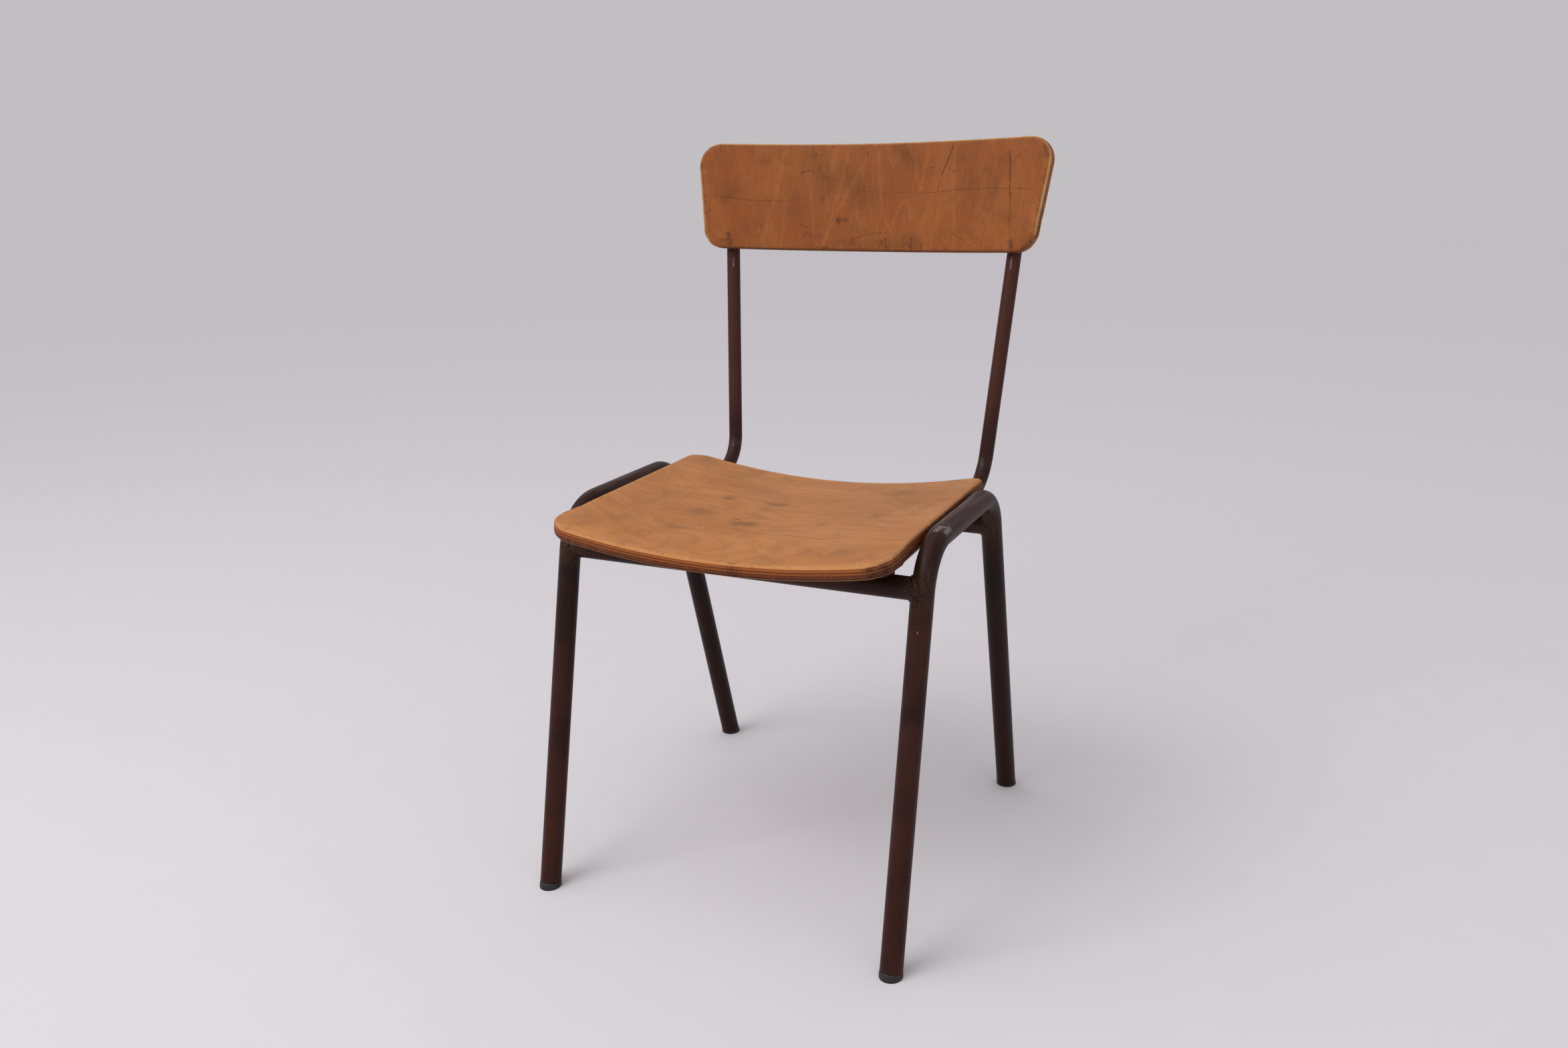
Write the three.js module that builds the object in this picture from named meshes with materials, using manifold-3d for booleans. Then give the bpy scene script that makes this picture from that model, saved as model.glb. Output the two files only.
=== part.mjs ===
// A stacking chair: two bent side frames, two cross rails, two seat bearers that
// run on as back uprights, a dished plywood seat and a bowed plywood backboard.
// Millimetres, +Z up, the front of the chair towards -Y, +X to the sitter's left.

import * as THREE from 'three';
import { mergeVertices } from 'three/addons/utils/BufferGeometryUtils.js';
import Module from 'manifold-3d';

const wasm = await Module();
wasm.setup();

// Clearances
const seatGap = 0.3;          // between two pieces that touch
const boreGap = 0.3;          // round a screw in its hole

// Side frames, of thick tube
const legTubeRadius = 12.5;
const legTubeWall = 1.5;
const railHalfSpacing = 218.3;
const frontFootHalfSpacing = 217.7;
const rearFootHalfSpacing = 214.1;
const footSpacing = 458.4;    // front feet to rear feet
const railHeight = 443.4;
const frontCornerY = -126.6;  // where leg and rail lines cross
const rearCornerY = 100.4;
const frontBendRadius = 60;
const rearBendRadius = 51;

// Foot glides, pushed into the leg tubes
const glideRadius = 13;
const glideHeight = 6;        // visible below the tube's end
const glideStemLength = 20;
const glideRibHeight = 2.5;
const glideRibDepth = 0.6;
const glideArris = 1;
const floorCutSize = 100;      // of the block that trims a glide level with the floor

// Cross rails, of the same tube as the legs
const frontCrossHeight = 400.5;
const rearCrossHeight = 402.3;
const weldRadius = 3.2;

// Seat bearers and back uprights, of thinner tube
const bearerRadius = 9;
const bearerWall = 1.5;
const bearerHalfSpacing = 177.4;
const bearerFrontOverhang = 9;
const bearerCopeDepth = 1.6;  // how far the bearer is let down over the front rail
const uprightFootY = 208.3;   // where bearer and upright lines cross
const uprightLean = 10.43;    // degrees, backwards
const uprightSplay = 3.97;    // degrees, outwards
const uprightBendRadius = 50;
const bearerWeldRadius = 2.6;
const bearerWeldLength = 9;
const bearerWeldSpread = 6.5;  // from the bearer's axis
const bearerWeldRise = 1.6;    // above the cross rail's top

// Seat board
const seatSideGap = 3.3;      // to the inside of each side frame
const seatHalfWidth = railHalfSpacing - legTubeRadius - seatSideGap;
const seatFrontFlare = 3.5;   // extra half width in front of the side frames' bends
const seatFlareLength = 40;
const seatThickness = 15;
const seatArris = 3;
const seatFrontY = -197;
const seatFrontCornerY = -199;
const seatRearY = 147;
const seatRearCornerY = 141;
const seatFrontCornerRadius = 30;
const seatRearCornerRadius = 24;
const seatRailGap = 0.65;     // the hollow's middle to the top of each cross rail
const seatRollStartY = -100;
const seatRollDrop = 6;      // at the front edge

// Backboard
const boardHeight = 139;
const boardTopHalfWidth = 246.3;
const boardBottomHalfWidth = 227.6;
const boardTopCornerRadius = 30;
const boardBottomCornerRadius = 27;
const boardThickness = 12;
const boardArris = 3;
const boardBow = 26;          // depth of the hollow across the full width
const boardCentreHeight = 780.2;
const boardTilt = 0.5;        // degrees, the board sits a little lower at +X
const uprightTopInset = 15.7; // of the uprights' tops below the board's top edge
const uprightTopHeight = boardCentreHeight + boardHeight / 2 - uprightTopInset;

// Plugs in the tops of the uprights
const plugDome = 3;
const plugRim = 1.5;
const plugStemLength = 12;
const plugTaperDepth = 0.8;
const plugTaperLength = 2;

// Screws
const screwRadius = 2;
const screwHeadRadius = 4.4;
const screwHeadHeight = 2.6;
const screwShoulderRadius = 4;
const screwShoulderHeight = 1.6;
const screwCrownRadius = 2.6;
const screwBite = 8;          // depth in the plywood
const screwTip = 2;
const slotWidth = 1.2;
const slotDepth = 1.3;
const seatScrewRows = [-96, 78];
const boardScrewInset = 17.8; // of the upper screws below the uprights' tops
const boardScrewSpacing = 70;
const boardScrewHeights = [0, 1].map((row) => (
  uprightTopHeight - boardScrewInset - row * boardScrewSpacing
));

// Facets
const tubeSides = 20;
const thinTubeSides = 16;
const glideSides = 14;
const screwSides = 12;
const beadSides = 8;
const beadCapSteps = 3;
const plugDomeSteps = 4;
const dishPasses = 6;         // of the sum that finds the seat's dish
const bendSteps = 8;
const edgeSteps = 4;
const seatSteps = { across: 24, along: 20 };
const boardSteps = { across: 26, along: 10 };

// The share of a side's facets that goes to the rounds at its two ends
const seatCornerShares = { across: 0.16, along: 0.2 };
const boardCornerShares = { across: 0.16, along: 0.3 };

const paint = { color: 0x4a2e28, roughness: 0.42, metalness: 0.25 };
const seatPly = { color: 0xb9824f, roughness: 0.45, metalness: 0 };
const backPly = { color: 0xa2602f, roughness: 0.4, metalness: 0 };
const blackPlastic = { color: 0x15130f, roughness: 0.6, metalness: 0 };
const rustySteel = { color: 0x5b4a3e, roughness: 0.55, metalness: 0.7 };

const chair = new THREE.Group();

function addPiece(name, geometry, finish) {
  const mesh = new THREE.Mesh(geometry, new THREE.MeshStandardMaterial(finish));
  mesh.name = name;
  chair.add(mesh);
}

function vec(x, y, z) {
  return new THREE.Vector3(x, y, z);
}

// Solids that are cut or joined

function toSolid(geometry) {
  const bare = new THREE.BufferGeometry();
  bare.setAttribute('position', geometry.getAttribute('position').clone());
  if (geometry.index) bare.setIndex(geometry.index.clone());
  const merged = mergeVertices(bare, 1e-4);
  return new wasm.Manifold(new wasm.Mesh({
    numProp: 3,
    vertProperties: new Float32Array(merged.getAttribute('position').array),
    triVerts: new Uint32Array(merged.index.array),
  }));
}

function toGeometry(solid) {
  const mesh = solid.getMesh();
  const geometry = new THREE.BufferGeometry();
  geometry.setAttribute('position', new THREE.BufferAttribute(mesh.vertProperties, 3));
  geometry.setIndex(new THREE.BufferAttribute(mesh.triVerts, 1));
  geometry.computeVertexNormals();
  return geometry;
}

function cut(solid, ...geometries) {
  return geometries.reduce((rest, geometry) => rest.subtract(toSolid(geometry)), solid);
}

function join(solid, ...geometries) {
  return geometries.reduce((whole, geometry) => whole.add(toSolid(geometry)), solid);
}

// Turns a geometry built round +Y, so that +Y runs along a direction, and moves it
function stand(geometry, direction, place) {
  const turn = new THREE.Quaternion().setFromUnitVectors(vec(0, 1, 0), direction.clone().normalize());
  geometry.applyQuaternion(turn);
  geometry.translate(place.x, place.y, place.z);
  return geometry;
}

function rod(radius, from, to, sides = tubeSides) {
  const along = to.clone().sub(from);
  const cylinder = new THREE.CylinderGeometry(radius, radius, along.length(), sides);
  return stand(cylinder, along, from.clone().lerp(to, 0.5));
}

// Bent tubes

// A line with a round bend at each inner corner. A step in t goes from one listed
// point to the next, so straight runs need no points between their ends.
class BentLine extends THREE.Curve {
  constructor(corners, radii) {
    super();
    this.stations = [corners[0]];
    radii.forEach((radius, i) => {
      this.addBend(corners[i], corners[i + 1], corners[i + 2], radius);
    });
    this.stations.push(corners[corners.length - 1]);
  }

  addBend(before, corner, after, radius) {
    const back = before.clone().sub(corner).normalize();
    const ahead = after.clone().sub(corner).normalize();
    const turn = Math.PI - back.angleTo(ahead);
    const reach = radius * Math.tan(turn / 2);
    const inward = back.clone().add(ahead).normalize();
    const centre = corner.clone().addScaledVector(inward, radius / Math.cos(turn / 2));
    const start = corner.clone().addScaledVector(back, reach).sub(centre);
    const end = corner.clone().addScaledVector(ahead, reach).sub(centre);
    for (let step = 0; step <= bendSteps; step += 1) {
      const part = step / bendSteps;
      this.stations.push(centre.clone()
        .addScaledVector(start, Math.sin((1 - part) * turn) / Math.sin(turn))
        .addScaledVector(end, Math.sin(part * turn) / Math.sin(turn)));
    }
  }

  get steps() {
    return this.stations.length - 1;
  }

  getPoint(t, target = new THREE.Vector3()) {
    const at = t * this.steps;
    const i = Math.min(Math.floor(at + 1e-9), this.steps - 1);
    return target.lerpVectors(this.stations[i], this.stations[i + 1], at - i);
  }

  getPointAt(t, target) {
    return this.getPoint(t, target);
  }

  // Halfway between the runs on either side, so that a bend's section stays square to it
  getTangentAt(t, target = new THREE.Vector3()) {
    const i = Math.round(t * this.steps);
    const last = this.steps;
    const before = this.stations[Math.max(i - 1, 0)];
    const here = this.stations[i];
    const after = this.stations[Math.min(i + 1, last)];
    const arriving = (i === 0 ? after.clone().sub(here) : here.clone().sub(before)).normalize();
    const leaving = (i === last ? here.clone().sub(before) : after.clone().sub(here)).normalize();
    return target.copy(arriving).add(leaving).normalize();
  }

  getTangent(t, target) {
    return this.getTangentAt(t, target);
  }
}

function ring(radius, wall) {
  const section = new THREE.Shape();
  section.absarc(0, 0, radius, 0, 2 * Math.PI);
  const bore = new THREE.Path();
  bore.absarc(0, 0, radius - wall, 0, 2 * Math.PI, true);
  section.holes.push(bore);
  return section;
}

function disc(radius) {
  const section = new THREE.Shape();
  section.absarc(0, 0, radius, 0, 2 * Math.PI);
  return section;
}

function sweep(section, line, sides) {
  return new THREE.ExtrudeGeometry(section, {
    steps: line.steps,
    curveSegments: sides / 2,
    extrudePath: line,
  });
}

// Side frames, glides and cross rails

function footPoint(side, front) {
  return front
    ? vec(side * frontFootHalfSpacing, -footSpacing / 2, 0)
    : vec(side * rearFootHalfSpacing, footSpacing / 2, 0);
}

function cornerPoint(side, front) {
  return vec(side * railHalfSpacing, front ? frontCornerY : rearCornerY, railHeight);
}

function legDirection(side, front) {
  return cornerPoint(side, front).sub(footPoint(side, front)).normalize();
}

function legPointAtHeight(side, front, height) {
  return footPoint(side, front).lerp(cornerPoint(side, front), height / railHeight);
}

function tubeEnd(side, front) {
  return footPoint(side, front).addScaledVector(legDirection(side, front), glideHeight);
}

function sideLine(side) {
  return new BentLine(
    [tubeEnd(side, true), cornerPoint(side, true), cornerPoint(side, false), tubeEnd(side, false)],
    [frontBendRadius, rearBendRadius],
  );
}

function addSideFrame(side, label) {
  const tube = sweep(ring(legTubeRadius, legTubeWall), sideLine(side), tubeSides);
  addPiece(`side_frame_${label}`, tube, paint);
}

// A flanged plug with ribs on its stem, worn flat where it stands on the floor
function addGlide(side, front, name) {
  const stemRadius = legTubeRadius - legTubeWall - seatGap;
  const neckRadius = stemRadius - glideRibDepth;
  const top = glideHeight - seatGap;
  const profile = [
    [0, -glideHeight],
    [glideRadius, -glideHeight],
    [glideRadius, top - glideArris],
    [glideRadius - glideArris, top],
    [neckRadius, top],
  ];
  const ribs = Math.floor(glideStemLength / (2 * glideRibHeight));
  for (let rib = 0; rib < ribs; rib += 1) {
    const start = top + (2 * rib + 1) * glideRibHeight;
    profile.push([neckRadius, start]);
    profile.push([stemRadius, start + glideRibDepth]);
    profile.push([stemRadius, start + glideRibHeight - glideRibDepth]);
    profile.push([neckRadius, start + glideRibHeight]);
  }
  profile.push([neckRadius, top + glideStemLength]);
  profile.push([0, top + glideStemLength]);
  const points = profile.map(([r, along]) => new THREE.Vector2(r, along));
  const turned = stand(new THREE.LatheGeometry(points, glideSides), legDirection(side, front),
    footPoint(side, front));
  const below = new THREE.BoxGeometry(floorCutSize, floorCutSize, floorCutSize);
  const foot = footPoint(side, front);
  below.translate(foot.x, foot.y, -floorCutSize / 2);
  addPiece(name, toGeometry(cut(toSolid(turned), below)), blackPlastic);
}

function crossHeight(front) {
  return front ? frontCrossHeight : rearCrossHeight;
}

function crossPoint(side, front) {
  return legPointAtHeight(side, front, crossHeight(front));
}

// The seam where the rail meets a leg of the same radius, as a closed curve
function weldSeam(side, front) {
  const leg = legDirection(side, front);
  const square = vec(1, 0, 0).cross(leg).normalize();
  const middle = crossPoint(side, front);
  const points = [];
  for (let i = 0; i < thinTubeSides; i += 1) {
    const angle = (2 * Math.PI * i) / thinTubeSides;
    const around = vec(0, Math.cos(angle) * legTubeRadius, Math.sin(angle) * legTubeRadius);
    const aside = around.dot(square);
    const reach = Math.sqrt(Math.max(legTubeRadius ** 2 - aside ** 2, 0));
    points.push(middle.clone().add(around).add(vec(-side * reach, 0, 0)));
  }
  return new THREE.CatmullRomCurve3(points, true);
}

function frameClearance(side) {
  return sweep(disc(legTubeRadius + seatGap), sideLine(side), tubeSides);
}

function addCrossRail(front, name) {
  const left = crossPoint(-1, front);
  const right = crossPoint(1, front);
  const beads = [-1, 1].map((side) => (
    new THREE.TubeGeometry(weldSeam(side, front), thinTubeSides, weldRadius, beadSides, true)
  ));
  const whole = join(toSolid(rod(legTubeRadius, left, right)), ...beads);
  const bore = rod(legTubeRadius - legTubeWall, left, right);
  addPiece(name, toGeometry(cut(whole, bore, frameClearance(-1), frameClearance(1))), paint);
}

// Seat bearers and back uprights

const rearBearerHeight = rearCrossHeight + legTubeRadius + seatGap + bearerRadius;
const frontBearerHeight = frontCrossHeight + legTubeRadius + bearerRadius - bearerCopeDepth;
const frontCrossY = crossPoint(1, true).y;
const rearCrossY = crossPoint(1, false).y;

function bearerHeight(y) {
  return THREE.MathUtils.mapLinear(y, frontCrossY, rearCrossY, frontBearerHeight, rearBearerHeight);
}

const leanSlope = Math.tan(THREE.MathUtils.degToRad(uprightLean));
const splaySlope = Math.tan(THREE.MathUtils.degToRad(uprightSplay));
const uprightFootHeight = bearerHeight(uprightFootY);

function uprightPoint(side, height) {
  const rise = height - uprightFootHeight;
  return vec(side * (bearerHalfSpacing + rise * splaySlope), uprightFootY + rise * leanSlope, height);
}

function uprightDirection(side) {
  return vec(side * splaySlope, leanSlope, 1).normalize();
}

function crossClearance(front) {
  return rod(legTubeRadius + seatGap, crossPoint(-1, front), crossPoint(1, front));
}

// Two short beads, one on each side of the bearer, in the crease above a cross rail
function bearerWelds(side, front) {
  const railTop = crossHeight(front) + legTubeRadius;
  const y = front ? frontCrossY : rearCrossY;
  return [-1, 1].map((edge) => {
    const bead = new THREE.CapsuleGeometry(bearerWeldRadius, bearerWeldLength, beadCapSteps, beadSides);
    bead.translate(side * bearerHalfSpacing + edge * bearerWeldSpread, y, railTop + bearerWeldRise);
    return bead;
  });
}

function screwHole({ head, direction, length }) {
  const start = head.clone().addScaledVector(direction, -seatGap);
  const end = head.clone().addScaledVector(direction, length + seatGap);
  return rod(screwRadius + boreGap, start, end, screwSides);
}

function addUpright(side, label) {
  const frontEnd = frontCrossY - bearerFrontOverhang;
  const x = side * bearerHalfSpacing;
  const line = new BentLine(
    [vec(x, frontEnd, bearerHeight(frontEnd)), uprightPoint(side, uprightFootHeight),
      uprightPoint(side, uprightTopHeight)],
    [uprightBendRadius],
  );
  const tube = toSolid(sweep(ring(bearerRadius, bearerWall), line, thinTubeSides));
  const bearerStart = vec(x, frontEnd, bearerHeight(frontEnd));
  const bearerEnd = vec(x, rearCrossY + 2 * legTubeRadius, bearerHeight(rearCrossY + 2 * legTubeRadius));
  const bore = rod(bearerRadius - bearerWall, bearerStart, bearerEnd, thinTubeSides);
  const beads = [...bearerWelds(side, true), ...bearerWelds(side, false)];
  const beadSolid = cut(join(toSolid(beads[0]), ...beads.slice(1)), bore);
  const holes = [
    ...seatScrews(side).map(screwHole),
    ...boardScrews(side).map(screwHole),
  ];
  const whole = cut(tube.add(beadSolid), crossClearance(true), crossClearance(false), ...holes);
  addPiece(`back_upright_${label}`, toGeometry(whole), paint);
}

function addUprightPlug(side, label) {
  const stem = bearerRadius - bearerWall - seatGap;
  const rim = bearerRadius;
  const points = [
    new THREE.Vector2(0, -plugStemLength),
    new THREE.Vector2(stem - plugTaperDepth, -plugStemLength),
    new THREE.Vector2(stem, -plugStemLength + plugTaperLength),
    new THREE.Vector2(stem, seatGap),
    new THREE.Vector2(rim, seatGap),
    new THREE.Vector2(rim, seatGap + plugRim),
  ];
  for (let i = 1; i < plugDomeSteps; i += 1) {
    const angle = (i / plugDomeSteps) * (Math.PI / 2);
    points.push(new THREE.Vector2(rim * Math.cos(angle), seatGap + plugRim + plugDome * Math.sin(angle)));
  }
  points.push(new THREE.Vector2(0, seatGap + plugRim + plugDome));
  const plug = stand(new THREE.LatheGeometry(points, thinTubeSides), uprightDirection(side),
    uprightPoint(side, uprightTopHeight));
  addPiece(`upright_plug_${label}`, plug, blackPlastic);
}

// Boards: a slab with rounded edges, carried onto a plan outline and a curved face

// The outline's point for a direction on a square from -1 to 1, from its corner
// points and corner radii, anticlockwise from the front right
class RoundedOutline {
  constructor(corners, radii, cornerShares) {
    this.cornerShares = cornerShares;
    this.sides = corners.map((corner, i) => {
      const before = corners[(i + 3) % 4];
      const after = corners[(i + 1) % 4];
      const back = before.clone().sub(corner).normalize();
      const ahead = after.clone().sub(corner).normalize();
      const half = Math.acos(THREE.MathUtils.clamp(back.dot(ahead), -1, 1)) / 2;
      const reach = radii[i] / Math.tan(half);
      const centre = corner.clone().addScaledVector(back.clone().add(ahead).normalize(),
        radii[i] / Math.sin(half));
      return {
        start: corner.clone().addScaledVector(back, reach),
        end: corner.clone().addScaledVector(ahead, reach),
        centre,
        radius: radii[i],
      };
    });
  }

  // share runs from 0 to 1 along one side, from the middle of one corner's round to
  // the middle of the next one's
  point(side, share) {
    const from = this.sides[side];
    const to = this.sides[(side + 1) % 4];
    const round = side % 2 === 0 ? this.cornerShares.along : this.cornerShares.across;
    if (share < round) {
      return this.onRound(from, 0.5 + (0.5 * share) / round);
    }
    if (share > 1 - round) {
      return this.onRound(to, (0.5 * (share - 1 + round)) / round);
    }
    return from.end.clone().lerp(to.start, (share - round) / (1 - 2 * round));
  }

  onRound(corner, share) {
    const a = corner.start.clone().sub(corner.centre);
    const b = corner.end.clone().sub(corner.centre);
    const cross = a.x * b.y - a.y * b.x;
    const turn = Math.atan2(cross, a.dot(b));
    return corner.centre.clone().add(a.rotateAround(new THREE.Vector2(), turn * share));
  }

  // u and v on the rim of the square
  rim(u, v) {
    if (v === -1) return this.point(3, (u + 1) / 2);
    if (u === 1) return this.point(0, (v + 1) / 2);
    if (v === 1) return this.point(1, (1 - u) / 2);
    return this.point(2, (1 - v) / 2);
  }
}

// Height and inset of the edge's section at one of its five levels
function edgeLevel(level, thickness, arris) {
  const half = thickness / 2;
  const bend = arris * (1 - Math.SQRT1_2);
  const sizes = { 0: [0, 0], 0.5: [half - bend, bend], 1: [half, arris] };
  const [height, inset] = sizes[Math.abs(level)];
  return { height: Math.sign(level) * height, inset };
}

// face gives the middle surface's point and normal for a place on the plan
function bentBoard({ outline, thickness, arris, face, steps }) {
  const geometry = new THREE.BoxGeometry(2, 2, 2, steps.across, steps.along, edgeSteps);
  const position = geometry.getAttribute('position');
  const middle = outline.sides.reduce((sum, corner) => sum.add(corner.centre), new THREE.Vector2())
    .divideScalar(outline.sides.length);
  for (let i = 0; i < position.count; i += 1) {
    const u = position.getX(i);
    const v = position.getY(i);
    const { height, inset } = edgeLevel(position.getZ(i), thickness, arris);
    const reach = Math.max(Math.abs(u), Math.abs(v));
    const plan = middle.clone();
    if (reach > 1e-6) {
      const edge = outline.rim(snap(u / reach), snap(v / reach)).sub(middle);
      plan.addScaledVector(edge, reach * (1 - inset / edge.length()));
    }
    const { point, normal } = face(plan.x, plan.y);
    point.addScaledVector(normal, height);
    position.setXYZ(i, point.x, point.y, point.z);
  }
  geometry.computeVertexNormals();
  return geometry;
}

function snap(value) {
  return Math.abs(Math.abs(value) - 1) < 1e-6 ? Math.sign(value) : value;
}

// Seat

const rollLength = seatRollStartY - seatFrontY;

function rollDrop(y) {
  return seatRollDrop * (Math.max(seatRollStartY - y, 0) / rollLength) ** 2;
}

// From a bearer's axis up to the top of a seat that rests on it, dished to a depth
function topOverBearer(dish) {
  const slope = (2 * dish * bearerHalfSpacing) / seatHalfWidth ** 2;
  return (bearerRadius + seatGap + seatThickness) * Math.hypot(1, slope);
}

// The dish that brings the middle of the seat down to just above a cross rail
function dishOverRail(bearerRise) {
  const share = (bearerHalfSpacing / seatHalfWidth) ** 2;
  let dish = seatThickness;
  for (let pass = 0; pass < dishPasses; pass += 1) {
    dish = (bearerRise - seatRailGap + topOverBearer(dish) - seatThickness) / share;
  }
  return dish;
}

const seatFrontDish = dishOverRail(frontBearerHeight - frontCrossHeight - legTubeRadius);
const seatRearDish = dishOverRail(rearBearerHeight - rearCrossHeight - legTubeRadius);

function seatDish(y) {
  return THREE.MathUtils.mapLinear(y, frontCrossY, rearCrossY, seatFrontDish, seatRearDish);
}

function edgeOverBearer(dish) {
  return topOverBearer(dish) + dish * (1 - (bearerHalfSpacing / seatHalfWidth) ** 2);
}

// The seat rests on the bearers over both cross rails
function seatEdgeHeight(y) {
  const rear = rearBearerHeight + edgeOverBearer(seatRearDish);
  const front = frontBearerHeight + edgeOverBearer(seatFrontDish) + rollDrop(frontCrossY);
  return THREE.MathUtils.mapLinear(y, frontCrossY, rearCrossY, front, rear) - rollDrop(y);
}

function seatTop(x, y) {
  return seatEdgeHeight(y) - seatDish(y) * (1 - (x / seatHalfWidth) ** 2);
}

const slopeStep = 0.5;

function seatFace(x, y) {
  const slopeX = (seatTop(x + slopeStep, y) - seatTop(x - slopeStep, y)) / (2 * slopeStep);
  const slopeY = (seatTop(x, y + slopeStep) - seatTop(x, y - slopeStep)) / (2 * slopeStep);
  const normal = vec(-slopeX, -slopeY, 1).normalize();
  const point = vec(x, y, seatTop(x, y)).addScaledVector(normal, -seatThickness / 2);
  return { point, normal };
}

// Widens the front of the plan, and bows its front and rear edges outwards
function seatPlanShape(x, y) {
  const flare = THREE.MathUtils.smoothstep(frontCornerY - y, 0, seatFlareLength);
  const wide = x * (1 + (flare * seatFrontFlare) / seatHalfWidth);
  const across = 1 - (x / seatHalfWidth) ** 2;
  const forward = THREE.MathUtils.smoothstep(-y, -seatRollStartY, -seatFrontCornerY);
  const backward = THREE.MathUtils.smoothstep(y, 0, seatRearCornerY);
  const bowed = y + across * (forward * (seatFrontY - seatFrontCornerY)
    + backward * (seatRearY - seatRearCornerY));
  return [wide, bowed];
}

function addSeatBoard() {
  const outline = new RoundedOutline(
    [
      new THREE.Vector2(seatHalfWidth, seatFrontCornerY),
      new THREE.Vector2(seatHalfWidth, seatRearCornerY),
      new THREE.Vector2(-seatHalfWidth, seatRearCornerY),
      new THREE.Vector2(-seatHalfWidth, seatFrontCornerY),
    ],
    [seatFrontCornerRadius, seatRearCornerRadius, seatRearCornerRadius, seatFrontCornerRadius],
    seatCornerShares,
  );
  const slab = bentBoard({
    outline,
    thickness: seatThickness,
    arris: seatArris,
    face: (x, y) => seatFace(...seatPlanShape(x, y)),
    steps: seatSteps,
  });
  const holes = [-1, 1].flatMap((side) => seatScrews(side).map(screwHole));
  addPiece('seat_board', toGeometry(cut(toSolid(slab), ...holes)), seatPly);
}

// Backboard, in a frame that leans with it: x across, h along its height

const contactHeight = boardCentreHeight;
const contactX = uprightPoint(1, contactHeight).x;
const boardSlopeAtUpright = (2 * boardBow * contactX) / boardTopHalfWidth ** 2;
const boardLean = Math.atan(leanSlope + splaySlope * boardSlopeAtUpright);
const boardUp = vec(0, Math.sin(boardLean), Math.cos(boardLean));
const boardBack = vec(0, Math.cos(boardLean), -Math.sin(boardLean));

function boardDepth(x) {
  return boardBow * (1 - (x / boardTopHalfWidth) ** 2);
}

// The backboard's rear face lies on the front of both uprights
function boardCentre() {
  const centre = vec(0, uprightPoint(1, contactHeight).y, contactHeight);
  const depth = (bearerRadius + seatGap + boardThickness) / Math.cos(Math.atan(boardSlopeAtUpright));
  return centre.addScaledVector(boardBack, -depth - boardDepth(contactX));
}

function boardFace(planX, planH) {
  const tilt = THREE.MathUtils.degToRad(boardTilt);
  const x = planX * Math.cos(tilt) + planH * Math.sin(tilt);
  const h = planH * Math.cos(tilt) - planX * Math.sin(tilt);
  const slope = (-2 * boardBow * x) / boardTopHalfWidth ** 2;
  const across = vec(1, 0, 0).addScaledVector(boardBack, slope).normalize();
  const normal = across.clone().cross(boardUp).normalize();
  const point = boardCentre().addScaledVector(boardUp, h).addScaledVector(boardBack, boardDepth(x));
  point.x = x;
  return { point: point.addScaledVector(normal, -boardThickness / 2), normal };
}

function addBackBoard() {
  const half = boardHeight / 2;
  const outline = new RoundedOutline(
    [
      new THREE.Vector2(boardBottomHalfWidth, -half),
      new THREE.Vector2(boardTopHalfWidth, half),
      new THREE.Vector2(-boardTopHalfWidth, half),
      new THREE.Vector2(-boardBottomHalfWidth, -half),
    ],
    [boardBottomCornerRadius, boardTopCornerRadius, boardTopCornerRadius, boardBottomCornerRadius],
    boardCornerShares,
  );
  const slab = bentBoard({
    outline,
    thickness: boardThickness,
    arris: boardArris,
    face: boardFace,
    steps: boardSteps,
  });
  const holes = [-1, 1].flatMap((side) => boardScrews(side).map(screwHole));
  addPiece('back_board', toGeometry(cut(toSolid(slab), ...holes)), backPly);
}

// Screws: each starts under its head, on the tube's far side from the board

function seatScrews(side) {
  const direction = vec(0, bearerHeight(0) - bearerHeight(1), 1).normalize();
  return seatScrewRows.map((y) => ({
    head: vec(side * bearerHalfSpacing, y, bearerHeight(y))
      .addScaledVector(direction, -bearerRadius - seatGap),
    direction,
    length: 2 * bearerRadius + 2 * seatGap + screwBite,
  }));
}

function boardScrews(side) {
  const along = uprightDirection(side);
  const direction = boardBack.clone().negate();
  direction.addScaledVector(along, -direction.dot(along)).normalize();
  return boardScrewHeights.map((height) => ({
    head: uprightPoint(side, height)
      .addScaledVector(direction, -bearerRadius - seatGap),
    direction,
    length: 2 * bearerRadius + 2 * seatGap + screwBite,
  }));
}

function addScrew(screw, name) {
  const points = [
    new THREE.Vector2(0, -screwHeadHeight),
    new THREE.Vector2(screwCrownRadius, -screwHeadHeight),
    new THREE.Vector2(screwShoulderRadius, -screwShoulderHeight),
    new THREE.Vector2(screwHeadRadius, 0),
    new THREE.Vector2(screwRadius, 0),
    new THREE.Vector2(screwRadius, screw.length - screwTip - seatGap),
    new THREE.Vector2(0, screw.length - seatGap),
  ];
  const slot = new THREE.BoxGeometry(4 * screwHeadRadius, 2 * slotDepth, slotWidth);
  slot.translate(0, -screwHeadHeight, 0);
  const body = cut(toSolid(new THREE.LatheGeometry(points, screwSides)), slot);
  addPiece(name, stand(toGeometry(body), screw.direction, screw.head), rustySteel);
}

function addScrews(side, label) {
  seatScrews(side).forEach((screw, i) => addScrew(screw, `seat_screw_${label}_${i + 1}`));
  boardScrews(side).forEach((screw, i) => addScrew(screw, `back_screw_${label}_${i + 1}`));
}

// The whole chair

function addSide(side, label) {
  addSideFrame(side, label);
  addGlide(side, true, `front_glide_${label}`);
  addGlide(side, false, `rear_glide_${label}`);
  addUpright(side, label);
  addUprightPlug(side, label);
  addScrews(side, label);
}

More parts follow.
